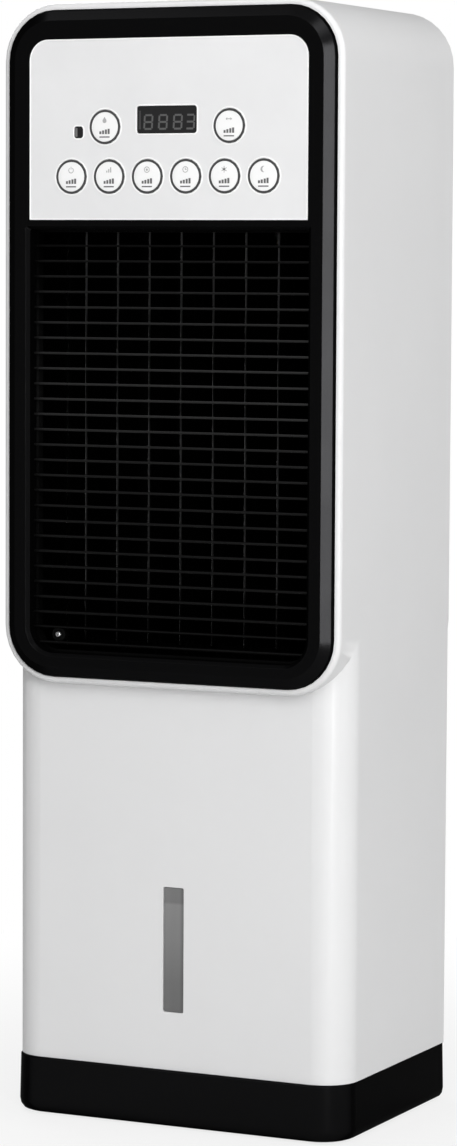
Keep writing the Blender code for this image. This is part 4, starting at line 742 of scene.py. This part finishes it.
def swing_vanes(looks):
    """Thin lens-shaped blades on end pins, each with a crank pin and a paler front edge, a painted
    highlight.
    """
    angles = [math.tau * step / VANE_SIDES for step in range(VANE_SIDES)]
    for i in range(VANES):
        node = f"swing_vane_{i + 1}"
        low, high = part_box(node)
        x, y = (low.x + high.x) / 2, (low.y + high.y) / 2
        chord = high.y - low.y
        work = bmesh.new()
        blade = [(x + VANE_THICKNESS / 2 * math.cos(a), y + chord / 2 * math.sin(a)) for a in angles]
        for face in bar(work, blade, VANE_BOTTOM, VANE_TOP):
            if face.calc_center_median().y < low.y + NOSE_DEPTH:
                face.material_index = 1
        for place, bottom, top in ((y, low.z, VANE_BOTTOM + PIN_OVERLAP),
                                   (y, VANE_TOP - PIN_OVERLAP, high.z),
                                   (y + CRANK_REACH, CRANK_BOTTOM, VANE_BOTTOM + PIN_OVERLAP)):
            bar(work, circle(x, place, VANE_PIN, PIN_SIDES), bottom, top)
        piece_from(work, f"{node}_fine", node, [looks["inner"], looks["nose"]])


HEAD_RISE = 0.0018
SHANK_SHARE = 0.41          # of the head's radius
# Share of the head's radius and share of its rise, from its rim to the edge of its cross
DOME = ((1.0, 0.0), (0.985, 0.25), (0.93, 0.5), (0.82, 0.74), (0.66, 0.92), (0.52, 1.0))
CROSS_ARM, CROSS_WIDTH = 0.46, 0.11
CROSS_TAPER, CROSS_DEPTH = 0.75, 0.6
REAR_SCREWS = 4


def cross(u, v, arm, width, sides=64):
    """Outline of a cross, point for point beside a circle of as many sides."""
    points = []
    for step in range(sides):
        a = math.tau * step / sides
        c, s = max(abs(math.cos(a)), WELD), max(abs(math.sin(a)), WELD)
        reach = max(min(arm / c, width / s), min(width / c, arm / s))
        points.append((u + reach * math.cos(a), v + reach * math.sin(a)))
    return points


def screw(node, look, outward):
    """Domed head with a cross recess; outward is the sign of Y it faces."""
    low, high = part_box(node)
    u, v = middle_of(low, high)
    radius = (high.x - low.x) / 2
    foot, top = (low.y, high.y) if outward > 0 else (high.y, low.y)
    rise = HEAD_RISE * outward
    seat = top - rise
    sections = []
    if abs(top - foot) > HEAD_RISE + WELD:
        shank = circle(u, v, radius * SHANK_SHARE)
        sections = [(shank, foot), (shank, seat)]
    sections += [(circle(u, v, radius * share), seat + rise * lift) for share, lift in DOME]
    for share, lift in ((1.0, 1.0), (CROSS_TAPER, 1 - CROSS_DEPTH)):
        sections.append((cross(u, v, radius * CROSS_ARM * share, radius * CROSS_WIDTH * share),
                         seat + rise * lift))
    work = bmesh.new()
    loft(work, sections)
    piece_from(work, f"{node}_fine", node, [look])


def screws(look):
    """The grille's screw faces -Y and the back's screws face +Y."""
    screw("grille_screw", look, -1)
    for i in range(REAR_SCREWS):
        screw(f"rear_screw_{i + 1}", look, 1)


SHEETS = 20
PAPER = 0.0006              # thickness
FLUTE = 0.0110              # length of one wave
FLUTE_SLANT = 0.7           # rise per depth
FLUTE_STEPS, DEPTH_STEPS = 6, 4
PAD_SHARP = 60              # degrees


def wet_pad(look):
    """Corrugated sheets side by side, their flutes slanting up and down by turns."""
    low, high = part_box("cooling_pad")
    pitch = (high.x - low.x) / SHEETS
    swing = (pitch - PAPER) / 2
    rows = int((high.z - low.z) / FLUTE * FLUTE_STEPS)
    work = bmesh.new()
    for sheet in range(SHEETS):
        middle = low.x + pitch * (sheet + 0.5)
        slant = FLUTE_SLANT if sheet % 2 else -FLUTE_SLANT
        skins = []
        for side in (-1, 1):
            skin = []
            for row in range(rows + 1):
                z = low.z + (high.z - low.z) * row / rows
                line = []
                for step in range(DEPTH_STEPS + 1):
                    y = low.y + (high.y - low.y) * step / DEPTH_STEPS
                    wave = math.sin(math.tau * (z + slant * (y - low.y)) / FLUTE)
                    line.append(work.verts.new((middle + swing * wave + side * PAPER / 2, y, z)))
                skin.append(line)
            skins.append(skin)
        close_sheet(work, *skins)
    bmesh.ops.recalc_face_normals(work, faces=work.faces)
    piece_from(work, "cooling_pad_fine", "cooling_pad", [look], PAD_SHARP)


def close_sheet(work, left, right):
    """Faces over two facing grids of vertices and round their border."""
    rows, steps = len(left) - 1, len(left[0]) - 1
    for row in range(rows):
        for step in range(steps):
            for skin in (left, right):
                work.faces.new((skin[row][step], skin[row][step + 1], skin[row + 1][step + 1],
                                skin[row + 1][step]))
        for step in (0, steps):
            work.faces.new((left[row][step], right[row][step],
                            right[row + 1][step], left[row + 1][step]))
    for step in range(steps):
        for row in (0, rows):
            work.faces.new((left[row][step], right[row][step],
                            right[row][step + 1], left[row][step + 1]))


MESH_PITCH = 0.0022
STRAND, STRAND_SIDES, RIB_SIDES = 0.00022, 8, 16
STRAND_SHIFT = 0.8          # of a strand's radius, to each side of the net's middle
NET_RIM, NET_EDGE = 0.0035, 0.0003
NET_RADII = (0.002,) * 4
NET_FIELDS = {"Z": 3, "X": 4}


def dust_net(look):
    """Fine strands across and up inside a thin rim with a few ribs."""
    low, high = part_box("filter_net")
    middle = (low.y + high.y) / 2
    work = bmesh.new()
    wide, tall = ((low.x + NET_RIM, high.x - NET_RIM), (low.z + NET_RIM, high.z - NET_RIM))
    net_rim(work, low, high)
    for axis, (start, end), (first, last), side in (("Z", wide, tall, -1), ("X", tall, wide, 1)):
        count = round((end - start) / MESH_PITCH)
        strands = (count, middle + STRAND * STRAND_SHIFT * side, STRAND, STRAND_SIDES)
        ribs = (NET_FIELDS[axis], middle, (high.y - low.y) / 2 - WELD, RIB_SIDES)
        for fields, y, radius, sides in (strands, ribs):
            for i in range(1, fields):
                across = start + (end - start) * i / fields
                centre = (across, y) if axis == "Z" else (y, across)
                thread = circle(*centre, radius, sides)
                loft(work, [(thread, first - NET_RIM / 2), (thread, last + NET_RIM / 2)], axis)
    piece_from(work, "filter_net_fine", "filter_net", [look])


def ring(work, sections):
    """Closed band through (outline, level) sections, the last joined to the first."""
    rings = [[work.verts.new((u, level, v)) for u, v in points] for points, level in sections]
    made = []
    for first, second in zip(rings, rings[1:] + rings[:1]):
        for i in range(len(first)):
            j = (i + 1) % len(first)
            made.append(work.faces.new((first[i], first[j], second[j], second[i])))
    bmesh.ops.recalc_face_normals(work, faces=made)


CORNER_STEPS, LEAST_RADIUS = 12, 0.0001


def inset(low, high, shift, radii):
    """Rounded outline of a box seen from the front, drawn in by a shift."""
    return rounded(low.x + shift, high.x - shift, low.z + shift, high.z - shift,
                   [max(radius - shift, LEAST_RADIUS) for radius in radii], CORNER_STEPS)


def net_rim(work, low, high):
    """Flat band round the net with softened edges."""
    steps = ((NET_RIM, NET_EDGE), (NET_RIM - NET_EDGE, 0), (NET_EDGE, 0), (0, NET_EDGE))
    profile = [(shift, low.y + depth) for shift, depth in steps]
    profile += [(shift, high.y - depth) for shift, depth in steps[::-1]]
    ring(work, [(inset(low, high, shift, NET_RADII), level) for shift, level in profile])


BEAD_WIDTH, BEAD_RISE = 0.0010, 0.0004
BEAD_GAP = 0.0004           # between a bead and the lens or key inside it
PANEL_RADII = (0.0006, 0.0006, 0.0142, 0.0142)
LENS_RADII = (0.0020,) * 4
# Share of the bead's width from its first edge, and share of its rise over the panel
BEAD_PROFILE = ((0.0, -0.4), (0.0, 0.3), (0.2, 0.8), (0.5, 1.0), (0.8, 0.8), (1.0, 0.3), (1.0, -0.4))


def bead(work, face, outline_at):
    """Closed raised line over a face; outline_at says its outline so far from its first edge."""
    ring(work, [(outline_at(BEAD_WIDTH * across), face - BEAD_RISE * rise)
                for across, rise in BEAD_PROFILE])


def panel_beads(look):
    """Raised lines round the panel, its lenses and its keys, whose near-white is a painted highlight.
    """
    low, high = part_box("control_panel")
    face = low.y
    work = bmesh.new()
    bead(work, face, lambda shift: inset(low, high, shift, PANEL_RADII))
    for node in ("display_window", "ir_window"):
        low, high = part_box(node)
        bead(work, face, lambda shift: inset(low, high, -BEAD_GAP - shift, LENS_RADII))
    for name in KEYS:
        x, z = middle_of(*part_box(f"button_{name}"))
        bead(work, face, lambda shift: circle(x, z, KEY_RADIUS + BEAD_GAP + shift))
    piece_from(work, "panel_beads", "control_panel", [look], stands_in=False)


# Nodes that keep their solid shape: look, width of their rounded edges (0 for none), names
SAME_SHAPES = (
    ("white", 0.0008, ("housing",)),
    ("black", 0.0006, ("base_plinth",)),
    ("window", 0.0003, ("level_window",)),
    ("slats", 0.0, ("outlet_grille",)),
    ("white", 0.0004, ("rear_panel",)),
    ("white", 0.0003, ("filter_door",)),
    ("inner", 0.0003, ("outlet_duct", "vane_link_bar")),
    ("inner", 0.0, ("fan_wheel",)),
    ("inner", 0.0003, ("fan_scroll", "fan_tongue")),
    ("inner", 0.0006, ("pump",)),
    ("inner", 0.0002, ("led_display", "ir_receiver")),
    ("tank", 0.0005, ("water_tank",)),
    ("grey", 0.0004, ("tank_latch",)),
    ("grey", 0.0003, ("motor_deck", "fan_roof", "pad_frame", "water_tray")),
    ("grey", 0.0002, ("supply_pipe", "pump_riser")),
    ("rubber", 0.0004, ("cord_gland",)),
    ("rubber", 0.0003, ("top_bush",)),
    ("rubber", 0.0002, ("rubber_foot_1", "rubber_foot_2", "rubber_foot_3", "rubber_foot_4")),
    ("zinc", 0.0005, ("fan_motor",)),
    ("zinc", 0.0003, ("swing_motor",)),
    ("steel", 0.0003, ("fan_shaft",)),
    ("key_board", 0.0002, ("control_board",)),
    ("power_board", 0.0002, ("power_board",)),
    ("silver", 0.0003, ("control_panel",)),
)
BEZEL_EDGE, BEZEL_SHARP = 0.0005, 20


def make_looks():
    """Every look by its short name."""
    return {
        "white": shell_white(),
        "black": deep_black("gloss_black", 0.0085, 0.20, 0.85, 0.012),
        # The slats' greys are painted light and shade, and the vane noses' paler grey is a painted
        # highlight
        "slats": grille_painted_light(deep_black("grille_black_painted_light", 0.0120, 0.32, 0.80, 0.02), SLAT_PAINTED_LIGHT),
        "nose": grille_painted_light(plain_look("vane_nose_highlight", (0.03, 0.03, 0.03), 0.35), NOSE_PAINTED_LIGHT),
        "inner": deep_black("inner_black", 0.0012, 0.60, 0.70, 0.05),
        "silver": plain_look("silver_panel", (0.77, 0.77, 0.775), 0.36, grain=0.03),
        "cap": plain_look("key_cap", (0.90, 0.90, 0.90), 0.33, grain=0.01),
        "ring": plain_look("key_ring", (0.055, 0.055, 0.056), 0.34),
        "pale_ink": plain_look("pale_ink", (0.42, 0.42, 0.42), 0.5),
        "dark_ink": plain_look("dark_ink", (0.12, 0.12, 0.12), 0.5),
        "lens": plain_look("dark_lens", (0.018, 0.018, 0.0185), 0.14, specular=0.2),
        "segment": plain_look("segment", (0.095, 0.095, 0.095), 0.4),
        "pale_mark": plain_look("pale_mark", (0.16, 0.16, 0.16), 0.4),
        "lens_edge": plain_look("lens_edge", (0.045, 0.045, 0.045), 0.35),
        "grey": plain_look("grey_moulded", (0.50, 0.51, 0.52), 0.5),
        "rubber": rubber_look(),
        "zinc": zinc_look(),
        "steel": steel_look(),
        "tank": tank_look(),
        "key_board": board_look("key_board", "Y", KEY_BOARD_FACE_Y, "LESS_THAN"),
        "power_board": board_look("power_board", "Z", POWER_BOARD_FACE_Z, "GREATER_THAN"),
        "pad": pad_look(),
        "net": net_look(),
        "window": level_look(),
        # Near-white beads: a painted highlight along the panel's edges
        "bead": plain_look("panel_edge_highlight", (0.95, 0.95, 0.95), 0.23, grain=0.01),
    }


def dress_nodes():
    """Fine pieces for all nodes of the solid model."""
    looks = make_looks()
    for look, width, nodes in SAME_SHAPES:
        for node in nodes:
            smooth_copy(node, looks[look], width)
    panel_beads(looks["bead"])
    smooth_copy("front_bezel", looks["black"], BEZEL_EDGE, BEZEL_SHARP)
    push_keys(looks)
    display(looks)
    receiver_window(looks)
    swing_vanes(looks)
    screws(looks["steel"])
    wet_pad(looks["pad"])
    dust_net(looks["net"])


place_camera()
light_world()
for lamp_row in LAMPS:
    area_lamp(*lamp_row)
add_floor()
dress_nodes()
